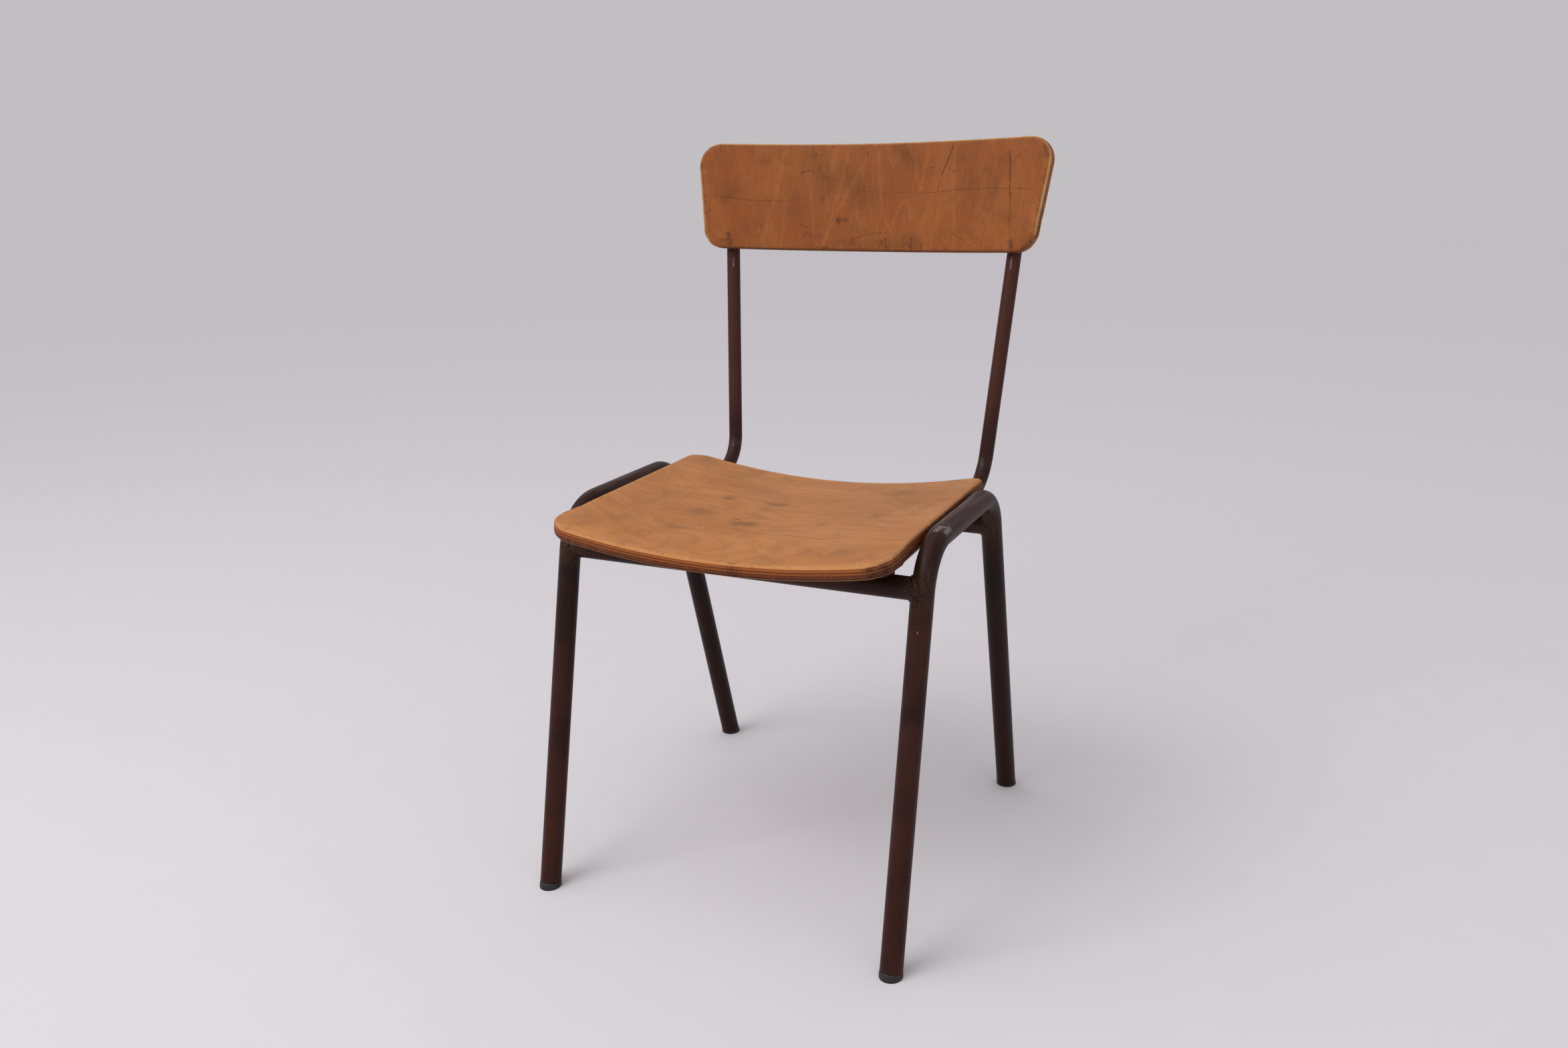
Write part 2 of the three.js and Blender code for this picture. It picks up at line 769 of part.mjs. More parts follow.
addSide(-1, 'right');
addSide(1, 'left');
addCrossRail(true, 'front_cross_rail');
addCrossRail(false, 'rear_cross_rail');
addSeatBoard();
addBackBoard();

// The origin is under the middle of the chair's box
chair.updateMatrixWorld(true);
const box = new THREE.Box3().setFromObject(chair, true);
chair.position.set(0, -(box.min.y + box.max.y) / 2, -box.min.z);
chair.updateMatrixWorld(true);

export default chair;
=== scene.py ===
"""A worn plywood stacking chair on a brown tube frame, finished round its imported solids."""
import logging
import math
from dataclasses import dataclass, field
from enum import Enum
from typing import Any, Callable, Sequence

import bpy
import numpy as np
from mathutils import Matrix, Vector, noise


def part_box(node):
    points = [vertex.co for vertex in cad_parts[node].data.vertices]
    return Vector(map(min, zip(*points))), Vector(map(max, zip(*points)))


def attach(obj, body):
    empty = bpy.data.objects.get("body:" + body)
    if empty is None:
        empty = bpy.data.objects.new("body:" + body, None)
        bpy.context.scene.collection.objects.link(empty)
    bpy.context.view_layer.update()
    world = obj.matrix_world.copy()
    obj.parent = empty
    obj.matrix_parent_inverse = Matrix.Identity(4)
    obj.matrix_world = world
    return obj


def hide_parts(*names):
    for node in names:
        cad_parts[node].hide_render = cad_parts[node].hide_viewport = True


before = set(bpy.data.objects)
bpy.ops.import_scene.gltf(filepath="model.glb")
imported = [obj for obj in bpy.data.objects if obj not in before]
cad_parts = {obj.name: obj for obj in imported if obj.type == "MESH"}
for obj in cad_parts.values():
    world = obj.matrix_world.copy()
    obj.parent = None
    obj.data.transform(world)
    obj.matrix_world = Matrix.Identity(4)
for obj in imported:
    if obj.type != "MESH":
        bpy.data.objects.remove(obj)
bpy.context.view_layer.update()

LOG = logging.getLogger("stacking_chair")
MM = 0.001
BODY = "root"
ON_RIM = 0.999


class Side(Enum):
    """The sitter's left is towards +X."""

    LEFT = 1
    RIGHT = -1

    @property
    def label(self) -> str:
        """The side's name as the solids' names have it."""
        return self.name.lower()


class End(Enum):
    """The front of the chair is towards -Y."""

    FRONT = "front"
    REAR = "rear"


# Sizes and places shared by the pieces


@dataclass(frozen=True)
class ChairPlan:
    """The chair's lines in millimetres, with the origin on the floor amid the four feet."""

    gap: float = 0.3
    leg_radius: float = 12.5
    tube_wall: float = 1.5
    rail_half_spacing: float = 218.3
    front_foot_half_spacing: float = 217.7
    rear_foot_half_spacing: float = 214.1
    foot_spacing: float = 458.4
    rail_height: float = 443.4
    front_corner_y: float = -126.6
    rear_corner_y: float = 100.4
    front_bend_radius: float = 60.0
    rear_bend_radius: float = 51.0
    glide_height: float = 6.0
    front_cross_height: float = 400.5
    rear_cross_height: float = 402.3
    bearer_radius: float = 9.0
    bearer_half_spacing: float = 177.4
    bearer_front_overhang: float = 9.0
    bearer_cope_depth: float = 1.6
    upright_foot_y: float = 208.3
    upright_lean: float = 10.43
    upright_splay: float = 3.97
    upright_bend_radius: float = 50.0
    upright_top: float = 834.0

    def foot(self, side: Side, end: End) -> Vector:
        """The middle of a leg where its line meets the floor.

        Args:
            side: Which side frame.
            end: Its front or rear leg.

        Returns:
            The point.
        """
        if end is End.FRONT:
            return Vector((side.value * self.front_foot_half_spacing, -self.foot_spacing / 2, 0))
        return Vector((side.value * self.rear_foot_half_spacing, self.foot_spacing / 2, 0))

    def corner(self, side: Side, end: End) -> Vector:
        """Where a leg's line meets the top rail's line."""
        y = self.front_corner_y if end is End.FRONT else self.rear_corner_y
        return Vector((side.value * self.rail_half_spacing, y, self.rail_height))

    def leg_direction(self, side: Side, end: End) -> Vector:
        """The way up along a leg."""
        return (self.corner(side, end) - self.foot(side, end)).normalized()

    def tube_end(self, side: Side, end: End) -> Vector:
        """The middle of a leg tube's open end."""
        return self.foot(side, end) + self.leg_direction(side, end) * self.glide_height

    def cross_height(self, end: End) -> float:
        """The height of a cross rail's axis."""
        return self.front_cross_height if end is End.FRONT else self.rear_cross_height

    def cross_point(self, side: Side, end: End) -> Vector:
        """Where a cross rail's axis meets a leg's axis."""
        share = self.cross_height(end) / self.rail_height
        return self.foot(side, end).lerp(self.corner(side, end), share)

    def bearer_height(self, y: float) -> float:
        """The height of a seat bearer's axis.

        Args:
            y: The place along the chair's depth.

        Returns:
            The height above the floor.
        """
        front_y = self.cross_point(Side.LEFT, End.FRONT).y
        rear_y = self.cross_point(Side.LEFT, End.REAR).y
        front = (self.front_cross_height + self.leg_radius + self.bearer_radius
                 - self.bearer_cope_depth)
        rear = self.rear_cross_height + self.leg_radius + self.gap + self.bearer_radius
        return front + (rear - front) * (y - front_y) / (rear_y - front_y)

    @property
    def lean_slope(self) -> float:
        """How far an upright goes back for each millimetre up."""
        return math.tan(math.radians(self.upright_lean))

    @property
    def splay_slope(self) -> float:
        """How far an upright goes outwards for each millimetre up."""
        return math.tan(math.radians(self.upright_splay))

    def upright_point(self, side: Side, height: float) -> Vector:
        """A point on an upright's axis.

        Args:
            side: Which upright.
            height: The height above the floor.

        Returns:
            The point.
        """
        rise = height - self.bearer_height(self.upright_foot_y)
        x = self.bearer_half_spacing + rise * self.splay_slope
        return Vector((side.value * x, self.upright_foot_y + rise * self.lean_slope, height))

    def upright_direction(self, side: Side) -> Vector:
        """The way up along an upright."""
        return Vector((side.value * self.splay_slope, self.lean_slope, 1)).normalized()


PLAN = ChairPlan()


def frame_shift() -> float:
    """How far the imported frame's middle lies behind the middle of the feet, in metres."""
    low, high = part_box("front_cross_rail")
    return (low[1] + high[1]) / 2 - PLAN.cross_point(Side.LEFT, End.FRONT).y * MM


SHIFT = frame_shift()


def placed(point: Vector) -> Vector:
    """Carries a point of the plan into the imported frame.

    Args:
        point: A point in millimetres.

    Returns:
        The point in metres.
    """
    return Vector((point.x * MM, point.y * MM + SHIFT, point.z * MM))


# Blender's own tools


class Bench:
    """The modelling operators, with what they act on chosen in code."""

    @staticmethod
    def clear() -> None:
        """Goes to object mode with nothing selected."""
        if bpy.context.mode != "OBJECT":
            bpy.ops.object.mode_set(mode="OBJECT")
        bpy.ops.object.select_all(action="DESELECT")

    @staticmethod
    def take(piece: bpy.types.Object) -> None:
        """Selects one object alone and makes it the active one.

        Args:
            piece: The object.
        """
        Bench.clear()
        piece.select_set(True)
        bpy.context.view_layer.objects.active = piece

    @staticmethod
    def settle(name: str) -> bpy.types.Object:
        """Names the active object and moves its place into its mesh.

        Args:
            name: The piece's name.

        Returns:
            The piece.
        """
        if bpy.context.mode != "OBJECT":
            bpy.ops.object.mode_set(mode="OBJECT")
        piece = bpy.context.active_object
        piece.name = name
        piece.data.name = name
        bpy.ops.object.transform_apply(location=True, rotation=True, scale=True)
        return piece

    @staticmethod
    def modify(piece: bpy.types.Object, kind: str, **settings: Any) -> None:
        """Adds a modifier and applies it at once.

        Args:
            piece: The object that it works on.
            kind: The modifier's type.
            **settings: The modifier's settings by name.
        """
        Bench.take(piece)
        modifier = piece.modifiers.new(kind.title(), kind)
        for setting, value in settings.items():
            setattr(modifier, setting, value)
        bpy.ops.object.modifier_apply(modifier=modifier.name)

    @staticmethod
    def smooth(piece: bpy.types.Object, degrees: float) -> None:
        """Shades a piece smooth, but for edges sharper than an angle."""
        Bench.take(piece)
        bpy.ops.object.shade_smooth_by_angle(angle=math.radians(degrees))

    @staticmethod
    def join(main: bpy.types.Object, others: Sequence[bpy.types.Object]) -> bpy.types.Object:
        """Joins pieces into one object.

        Args:
            main: The piece that keeps its name.
            others: The pieces that it takes in.

        Returns:
            The joined piece.
        """
        Bench.take(main)
        for other in others:
            other.select_set(True)
        bpy.ops.object.join()
        return main

    @staticmethod
    def face_outwards(piece: bpy.types.Object) -> None:
        """Turns all faces of a closed piece outwards.

        Args:
            piece: The object.
        """
        Bench.take(piece)
        bpy.ops.object.mode_set(mode="EDIT")
        bpy.ops.mesh.select_all(action="SELECT")
        bpy.ops.mesh.normals_make_consistent(inside=False)
        bpy.ops.object.mode_set(mode="OBJECT")

    @staticmethod
    def stand(piece: bpy.types.Object, direction: Vector, place: Vector) -> None:
        """Turns a mesh made round +Z to run along a direction, and moves it.

        Args:
            piece: The object, at the origin.
            direction: The way that its +Z is to point.
            place: Where its origin goes, in metres.
        """
        turn = Vector((0, 0, 1)).rotation_difference(direction).to_matrix().to_4x4()
        piece.data.transform(Matrix.Translation(place) @ turn)


@dataclass
class BentTube:
    """A tube that runs straight from corner to corner and bends round the inner ones."""

    name: str
    radius: float
    wall: float
    facets: int = 48
    bend_steps: int = 18

    def _run(self, along: Vector) -> None:
        """Extrudes the selected ring along a straight stretch."""
        bpy.ops.mesh.extrude_region_move(TRANSFORM_OT_translate={"value": along})

    def lay(self, corners: Sequence[Vector], bends: Sequence[float]) -> bpy.types.Object:
        """Makes the tube.

        Args:
            corners: The line's points, in metres.
            bends: The bend radius at each inner point, in metres.

        Returns:
            The tube, with its wall and open ends.
        """
        Bench.clear()
        ahead = (corners[1] - corners[0]).normalized()
        turn = Vector((0, 0, 1)).rotation_difference(ahead)
        bpy.ops.mesh.primitive_circle_add(vertices=self.facets, radius=self.radius,
                                          location=corners[0], rotation=turn.to_euler())
        bpy.ops.object.transform_apply(location=True, rotation=True, scale=True)
        bpy.ops.object.mode_set(mode="EDIT")
        bpy.ops.mesh.select_all(action="SELECT")
        here = corners[0]
        for before, corner, after, radius in zip(corners, corners[1:], corners[2:], bends):
            arriving = (corner - before).normalized()
            leaving = (after - corner).normalized()
            angle = arriving.angle(leaving)
            reach = radius * math.tan(angle / 2)
            start = corner - arriving * reach
            self._run(start - here)
            axis = arriving.cross(leaving).normalized()
            centre = start + axis.cross(arriving) * radius
            bpy.ops.mesh.spin(steps=self.bend_steps, angle=-angle, center=centre, axis=axis)
            here = corner + leaving * reach
        self._run(corners[-1] - here)
        bpy.ops.mesh.select_all(action="SELECT")
        bpy.ops.mesh.remove_doubles(threshold=0.01 * MM)
        bpy.ops.mesh.normals_make_consistent(inside=False)
        tube = Bench.settle(self.name)
        Bench.modify(tube, "SOLIDIFY", thickness=self.wall, offset=-1.0)
        return tube


@dataclass
class TurnedPiece:
    """A round body built ring by ring up its axis."""

    name: str
    profile: Sequence[tuple[float, float]]
    facets: int = 40

    def turn(self) -> bpy.types.Object:
        """Makes the body round +Z, from its first ring to its last.

        Returns:
            The closed body, at the origin.
        """
        Bench.clear()
        radius, height = self.profile[0]
        bpy.ops.mesh.primitive_circle_add(vertices=self.facets, radius=radius * MM,
                                          fill_type="NGON", location=(0, 0, height * MM))
        bpy.ops.object.transform_apply(location=True, rotation=True, scale=True)
        bpy.ops.object.mode_set(mode="EDIT")
        bpy.ops.mesh.select_all(action="SELECT")
        for wide, high in self.profile[1:]:
            rise = (0, 0, (high - height) * MM)
            bpy.ops.mesh.extrude_region_move(TRANSFORM_OT_translate={"value": rise})
            ratio = wide / radius
            bpy.ops.transform.resize(value=(ratio, ratio, 1), center_override=(0, 0, high * MM))
            radius, height = wide, high
        piece = Bench.settle(self.name)
        Bench.face_outwards(piece)
        Bench.smooth(piece, 35)
        return piece


# Plywood boards


@dataclass(frozen=True)
class Stroke:
    """A line on a board's plan, in millimetres."""

    points: tuple[tuple[float, float], ...]
    width: float = 1.0
    strength: float = 1.0

    def distance(self, plan: np.ndarray) -> np.ndarray:
        """How far each place of a plan lies from the line.

        Args:
            plan: The places, one row each.

        Returns:
            The distances in millimetres.
        """
        if len(self.points) == 1:
            return np.hypot(*(plan - np.array(self.points[0])).T)
        nearest = np.full(len(plan), np.inf)
        for start, end in zip(self.points, self.points[1:]):
            a = np.array(start)
            along = np.array(end) - a
            share = np.clip((plan - a) @ along / (along @ along), 0, 1)
            away = plan - a - share[:, None] * along
            nearest = np.minimum(nearest, np.hypot(away[:, 0], away[:, 1]))
        return nearest


def shaded(plan: np.ndarray, strokes: Sequence[Stroke]) -> np.ndarray:
    """Paints soft lines and spots onto a plan.

    Args:
        plan: The places, one row each.
        strokes: The lines, each with the width at which it fades.

    Returns:
        The paint's strength at each place, from 0 to 1.
    """
    paint = np.zeros(len(plan))
    for stroke in strokes:
        soft = stroke.strength * np.exp(-(stroke.distance(plan) / stroke.width) ** 2)
        paint = np.maximum(paint, soft)
    return paint


@dataclass
class RoundedOutline:
    """A four-sided outline with round corners, reached from the rim of a square."""

    corners: Sequence[tuple[float, float]]
    radii: Sequence[float]
    across_share: float
    along_share: float
    rounds: list[tuple[Vector, Vector, Vector]] = field(init=False)

    def __post_init__(self) -> None:
        """Works out where each corner's round starts, ends and has its centre."""
        self.rounds = []
        for i, spot in enumerate(self.corners):
            corner = Vector(spot)
            back = (Vector(self.corners[i - 1]) - corner).normalized()
            ahead = (Vector(self.corners[(i + 1) % 4]) - corner).normalized()
            half = math.acos(max(-1.0, min(1.0, back.dot(ahead)))) / 2
            reach = self.radii[i] / math.tan(half)
            centre = corner + (back + ahead).normalized() * (self.radii[i] / math.sin(half))
            self.rounds.append((corner + back * reach, corner + ahead * reach, centre))

    @property
    def middle(self) -> Vector:
        """The middle of the four rounds' centres."""
        return sum((centre for _, _, centre in self.rounds), Vector((0, 0))) / 4

    def _on_round(self, index: int, share: float) -> Vector:
        """A point on a corner's round, from its start at 0 to its end at 1.

        Args:
            index: Which corner.
            share: How far round it.

        Returns:
            The point on the plan.
        """
        start, end, centre = self.rounds[index]
        a = start - centre
        b = end - centre
        turn = math.atan2(a.x * b.y - a.y * b.x, a.dot(b)) * share
        return centre + Vector((a.x * math.cos(turn) - a.y * math.sin(turn),
                                a.x * math.sin(turn) + a.y * math.cos(turn)))

    def _on_side(self, side: int, share: float) -> Vector:
        """A point on a side, from the middle of one corner's round to the next one's.

        Args:
            side: Which side, by the corner that it starts from.
            share: How far along it.

        Returns:
            The point on the plan.
        """
        rounding = self.along_share if side % 2 == 0 else self.across_share
        if share < rounding:
            return self._on_round(side, 0.5 + 0.5 * share / rounding)
        if share > 1 - rounding:
            return self._on_round((side + 1) % 4, 0.5 * (share - 1 + rounding) / rounding)
        straight = (share - rounding) / (1 - 2 * rounding)
        return self.rounds[side][1].lerp(self.rounds[(side + 1) % 4][0], straight)

    def rim(self, u: float, v: float) -> Vector:
        """Carries a point on the square's rim onto the outline.

        Args:
            u: The place across, from -1 to 1.
            v: The place along, from -1 to 1.

        Returns:
            The point on the outline.
        """
        if v <= -1 + 1e-6:
            return self._on_side(3, (u + 1) / 2)
        if u >= 1 - 1e-6:
            return self._on_side(0, (v + 1) / 2)
        if v >= 1 - 1e-6:
            return self._on_side(1, (1 - u) / 2)
        return self._on_side(2, (1 - v) / 2)


@dataclass
class PlywoodBoard:
    """A bent board of glued plies with rounded and knocked edges."""

    name: str
    outline: RoundedOutline
    thickness: float
    arris: float
    cells: tuple[int, int]
    face: Callable[[float, float], tuple[Vector, Vector, tuple[float, float]]]
    chips: Sequence[Stroke] = ()
    arc_steps: int = 3
    ply_steps: int = 6
    ply_waves: float = 2.5
    ply_ridge: float = 0.12
    edge_wear: float = 0.35
    nick_depth: float = 0.3
    trim: float = 0.0

    def _slab(self) -> bpy.types.Object:
        """Extrudes a grid into a flat slab whose sides are cut into levels.

        Returns:
            The slab, 2 by 2 by 2 with its top at +1.
        """
        Bench.clear()
        across, along = self.cells
        bpy.ops.mesh.primitive_grid_add(x_subdivisions=across, y_subdivisions=along, size=2,
                                        location=(0, 0, -1))
        bpy.ops.object.transform_apply(location=True, rotation=True, scale=True)
        slab = bpy.context.active_object
        bpy.ops.object.mode_set(mode="EDIT")
        bpy.ops.mesh.select_all(action="SELECT")
        bpy.ops.mesh.extrude_region_move(TRANSFORM_OT_translate={"value": (0, 0, 2)})
        bpy.ops.mesh.select_mode(type="EDGE")
        bpy.ops.mesh.select_all(action="DESELECT")
        bpy.ops.object.mode_set(mode="OBJECT")
        for edge in slab.data.edges:
            low, high = (slab.data.vertices[v].co.z for v in edge.vertices)
            edge.select = abs(high - low) > 1
        bpy.ops.object.mode_set(mode="EDIT")
        levels = 2 * self.arc_steps + self.ply_steps
        bpy.ops.mesh.subdivide(number_cuts=levels - 1)
        bpy.ops.mesh.select_mode(type="VERT")
        return Bench.settle(self.name)

    def _section(self, level: float) -> tuple[float, float]:
        """Height and inset of the edge's section.

        Args:
            level: From -1 at the bottom face to 1 at the top face.

        Returns:
            The height above the middle and the inset from the outline.
        """
        half = self.thickness / 2
        levels = 2 * self.arc_steps + self.ply_steps
        step = round((abs(level) + 1) / 2 * levels) - levels / 2
        flat = self.ply_steps / 2
        sign = 1 if level > 0 else -1
        if step <= flat:
            return sign * (half - self.arris) * step / flat, 0.0
        angle = (step - flat) / self.arc_steps * math.pi / 2
        height = half - self.arris + self.arris * math.sin(angle)
        return sign * height, self.arris * (1 - math.cos(angle))

    def make(self) -> tuple[bpy.types.Object, np.ndarray]:
        """Makes the board.

        Returns:
            The piece, and for each of its points the place on the plan and the height
            through the plies, in millimetres.
        """
        board = self._slab()
        middle = self.outline.middle
        sheet = np.zeros((len(board.data.vertices), 3))
        for vertex in board.data.vertices:
            u, v, level = vertex.co
            height, inset = self._section(level)
            reach = max(abs(u), abs(v))
            spot = middle.copy()
            if reach > 1e-6:
                edge = self.outline.rim(u / reach, v / reach) - middle
                rough = self._roughness(middle + edge, height) if reach > ON_RIM else 0.0
                spot = middle + edge * reach * (1 - (inset + rough) / edge.length)
            point, normal, plan = self.face(spot.x, spot.y)
            sheet[vertex.index] = (*plan, height)
            vertex.co = placed(point + normal * (height - self.thickness / 2))
        self._knock(board, sheet)
        Bench.face_outwards(board)
        Bench.smooth(board, 50)
        return board, sheet

    def _roughness(self, spot: Vector, height: float) -> float:
        """How far the edge is worn back at a place on the rim.

        Args:
            spot: The place on the plan.
            height: The height above the board's middle.

        Returns:
            The depth in millimetres.
        """
        ply = math.sin(height / self.thickness * 2 * math.pi * self.ply_waves) * self.ply_ridge
        wear = noise.noise(Vector((spot.x * 0.05, spot.y * 0.05, height * 0.2)))
        nick = noise.noise(Vector((spot.x * 0.25, spot.y * 0.25, height * 0.3 + 7)))
        return (self.trim + ply + self.edge_wear * (0.5 + 0.5 * wear)
                + self.nick_depth * max(nick - 0.25, 0))

    def _knock(self, board: bpy.types.Object, sheet: np.ndarray) -> None:
        """Presses the chips into the edges.

        Args:
            board: The piece.
            sheet: The places of its points on the plan.
        """
        depth = np.zeros(len(sheet))
        for chip in self.chips:
            depth = np.maximum(depth, shaded(sheet[:, :2], [chip]))
        inward = Vector((self.outline.middle.x * MM, self.outline.middle.y * MM, 0))
        for vertex in board.data.vertices:
            if depth[vertex.index] < 0.05:
                continue
            grain = 0.6 + 0.8 * noise.noise(vertex.co * 300)
            towards = Vector((inward.x - sheet[vertex.index, 0] * MM,
                              inward.y - sheet[vertex.index, 1] * MM, 0)).normalized()
            vertex.co += towards * depth[vertex.index] * grain * MM


# Shader maths


class Signal:
    """A shader node's output, with Python's operators for the maths on it."""

    def __init__(self, sheet: "FinishSheet", socket: bpy.types.NodeSocket) -> None:
        """Keeps the output and the sheet of nodes that it belongs to."""
        self.sheet = sheet
        self.socket = socket

    def __add__(self, other: Any) -> "Signal":
        """The sum."""
        return self.sheet.maths("ADD", self, other)

    __radd__ = __add__

    def __sub__(self, other: Any) -> "Signal":
        """The difference."""
        return self.sheet.maths("SUBTRACT", self, other)

    def __rsub__(self, other: Any) -> "Signal":
        """The difference from a number."""
        return self.sheet.maths("SUBTRACT", other, self)

    def __mul__(self, other: Any) -> "Signal":
        """The product."""
        return self.sheet.maths("MULTIPLY", self, other)

    __rmul__ = __mul__

    def __truediv__(self, other: Any) -> "Signal":
        """The quotient."""
        return self.sheet.maths("DIVIDE", self, other)

    def __abs__(self) -> "Signal":
        """The size without the sign."""
        return self.sheet.maths("ABSOLUTE", self)

    def at_least(self, other: Any) -> "Signal":
        """The larger of the two."""
        return self.sheet.maths("MAXIMUM", self, other)

    def at_most(self, other: Any) -> "Signal":
        """The smaller of the two."""
        return self.sheet.maths("MINIMUM", self, other)

    def fraction(self) -> "Signal":
        """What is left over a whole number."""
        return self.sheet.maths("FRACT", self)

    def rise(self, low: float, high: float) -> "Signal":
        """Goes smoothly from 0 to 1 between two values.

        Args:
            low: Where it leaves 0.
            high: Where it reaches 1.

        Returns:
            The mask.
        """
        return self.sheet.node("ShaderNodeMapRange", {"interpolation_type": "SMOOTHSTEP"},
                               {"Value": self, "From Min": low, "From Max": high})


class FinishSheet:
    """The nodes of one material."""

    def __init__(self, name: str) -> None:
        """Starts an empty material.

        Args:
            name: The material's name.
        """
        self.material = bpy.data.materials.new(name)
        self.material.use_nodes = True
        self.tree = self.material.node_tree
        self.tree.nodes.clear()

    def node(self, kind: str, settings: dict[str, Any] | None = None,
             inputs: dict[Any, Any] | None = None, output: Any = 0) -> Signal:
        """Adds one node.

        Args:
            kind: The node's type.
            settings: Its own settings by name; stops are a ramp's places and colours.
            inputs: Values or signals for its sockets, by name or number.
            output: The output that is wanted, by name or number.

        Returns:
            That output.
        """
        made = self.tree.nodes.new(kind)
        for key, value in (settings or {}).items():
            if key == "stops":
                self._set_stops(made.color_ramp, value)
            else:
                setattr(made, key, value)
        for key, value in (inputs or {}).items():
            if isinstance(value, Signal):
                self.tree.links.new(value.socket, made.inputs[key])
            else:
                made.inputs[key].default_value = value
        return Signal(self, made.outputs[output])

    @staticmethod
    def _set_stops(ramp: bpy.types.ColorRamp, stops: Sequence[tuple[float, Any]]) -> None:
        """Puts places and colours on a ramp.

        Args:
            ramp: The ramp.
            stops: Its places from 0 to 1, each with its colour.
        """
        while len(ramp.elements) < len(stops):
            ramp.elements.new(1.0)
        for element, (place, colour) in zip(ramp.elements, stops):
            element.position = place
            element.color = (*colour, 1.0)

    def maths(self, operation: str, *values: Any) -> Signal:
        """Adds a Math node.

        Args:
            operation: What it does.
            *values: Its numbers or signals, in order.

        Returns:
            The result.
        """
        return self.node("ShaderNodeMath", {"operation": operation}, dict(enumerate(values)))

    def vector(self, operation: str, *values: Any, output: Any = 0) -> Signal:
        """Adds a Vector Math node, as maths does for numbers."""
        return self.node("ShaderNodeVectorMath", {"operation": operation},
                         dict(enumerate(values)), output)

    def scaled(self, vector: Signal, size: Any) -> Signal:
        """A vector times a number."""
        return self.node("ShaderNodeVectorMath", {"operation": "SCALE"},
                         {0: vector, "Scale": size})

    def combine(self, x: Any, y: Any, z: Any) -> Signal:
        """A vector from three numbers."""
        return self.node("ShaderNodeCombineXYZ", None, {0: x, 1: y, 2: z})

    def parts(self, vector: Signal) -> tuple[Signal, Signal, Signal]:
        """The three numbers of a vector."""
        return tuple(self.node("ShaderNodeSeparateXYZ", None, {0: vector}, i) for i in range(3))

    def cloud(self, vector: Signal, scale: float, detail: float = 3.0,
              distortion: float = 0.0, roughness: float = 0.5) -> Signal:
        """Noise from 0 to 1 over a vector.

        Args:
            vector: Where it is read.
            scale: How many lumps fit in one unit.
            detail: How fine it goes.
            distortion: How much it swirls.
            roughness: How strong the fine part is.

        Returns:
            The noise.
        """
        return self.node("ShaderNodeTexNoise", None, {
            "Vector": vector, "Scale": scale, "Detail": detail,
            "Distortion": distortion, "Roughness": roughness})

    def mix(self, share: Any, first: Any, second: Any) -> Signal:
        """Mixes two colours.

        Args:
            share: How much of the second shows.
            first: The colour below.
            second: The colour above.

        Returns:
            The mixed colour.
        """
        colours = [c if isinstance(c, Signal) else (*c, 1.0) for c in (first, second)]
        return self.node("ShaderNodeMix", {"data_type": "RGBA"},
                         {0: share, 6: colours[0], 7: colours[1]}, 2)

    def ramp(self, value: Signal, stops: Sequence[tuple[float, Any]]) -> Signal:
        """Looks a number up on a colour ramp."""
        return self.node("ShaderNodeValToRGB", {"stops": stops}, {0: value})

    def attribute(self, name: str, output: str = "Fac") -> Signal:
        """Reads a value that is kept on the mesh."""
        return self.node("ShaderNodeAttribute", {"attribute_name": name}, None, output)

    def place(self) -> Signal:
        """The place on the object, in millimetres."""
        spot = self.node("ShaderNodeTexCoord", None, None, "Object")
        return self.scaled(spot, 1 / MM)

    def near_segments(self, spot: Signal, segments: Sequence[tuple[Vector, Vector]],
                      round_off: float = 0.0) -> Signal:
        """The distance to the nearest of several straight lines.

        Args:
            spot: The place, in millimetres.
            segments: The lines' two ends.
            round_off: How far apart two lines melt into one.

        Returns:
            The distance in millimetres.
        """
        nearest = None
        for start, end in segments:
            along = end - start
            away = self.vector("SUBTRACT", spot, start)
            share = self.vector("DOT_PRODUCT", away, along / along.length_squared,
                                output="Value")
            held = self.node("ShaderNodeClamp", None, {"Value": share})
            foot = self.node("ShaderNodeVectorMath", {"operation": "SCALE"},
                             {0: along, "Scale": held})
            distance = self.vector("DISTANCE", away, foot, output="Value")
            if nearest is None:
                nearest = distance
            elif round_off:
                nearest = self.maths("SMOOTH_MIN", nearest, distance, round_off)
            else:
                nearest = nearest.at_most(distance)
        return nearest

    def near_lines(self, spot: Signal, strokes: Sequence[Stroke], height: float,
                   round_off: float = 0.0) -> Signal:
        """The distance to the nearest of several lines on a board's face.

        Args:
            spot: The place on the plan and through the plies, in millimetres.
            strokes: The lines.
            height: The height of the face that carries them.
            round_off: How far apart two lines melt into one.

        Returns:
            The distance in millimetres.
        """
        segments = [(Vector((*start, height)), Vector((*end, height)))
                    for stroke in strokes for start, end in zip(stroke.points, stroke.points[1:])]
        return self.near_segments(spot, segments, round_off)

    def finish(self, varying: dict[str, Any], uniform: dict[str, float],
               bump: Signal, depth: float) -> bpy.types.Material:
        """Ends the material in its surface shader.

        Args:
            varying: Signals for the shader's sockets, by name.
            uniform: Numbers for the shader's sockets, by name.
            bump: The height of the surface's fine relief.
            depth: How deep that relief is, in metres.

        Returns:
            The material.
        """
        relief = self.node("ShaderNodeBump", None, {"Height": bump, "Distance": depth,
                                                    "Strength": 1.0})
        shader = self.node("ShaderNodeBsdfPrincipled", None,
                           {**varying, **uniform, "Normal": relief})
        self.node_output(shader)
        return self.material

    def node_output(self, shader: Signal) -> None:
        """Joins the shader to the material's output."""
        output = self.tree.nodes.new("ShaderNodeOutputMaterial")
        self.tree.links.new(shader.socket, output.inputs["Surface"])


# Finishes


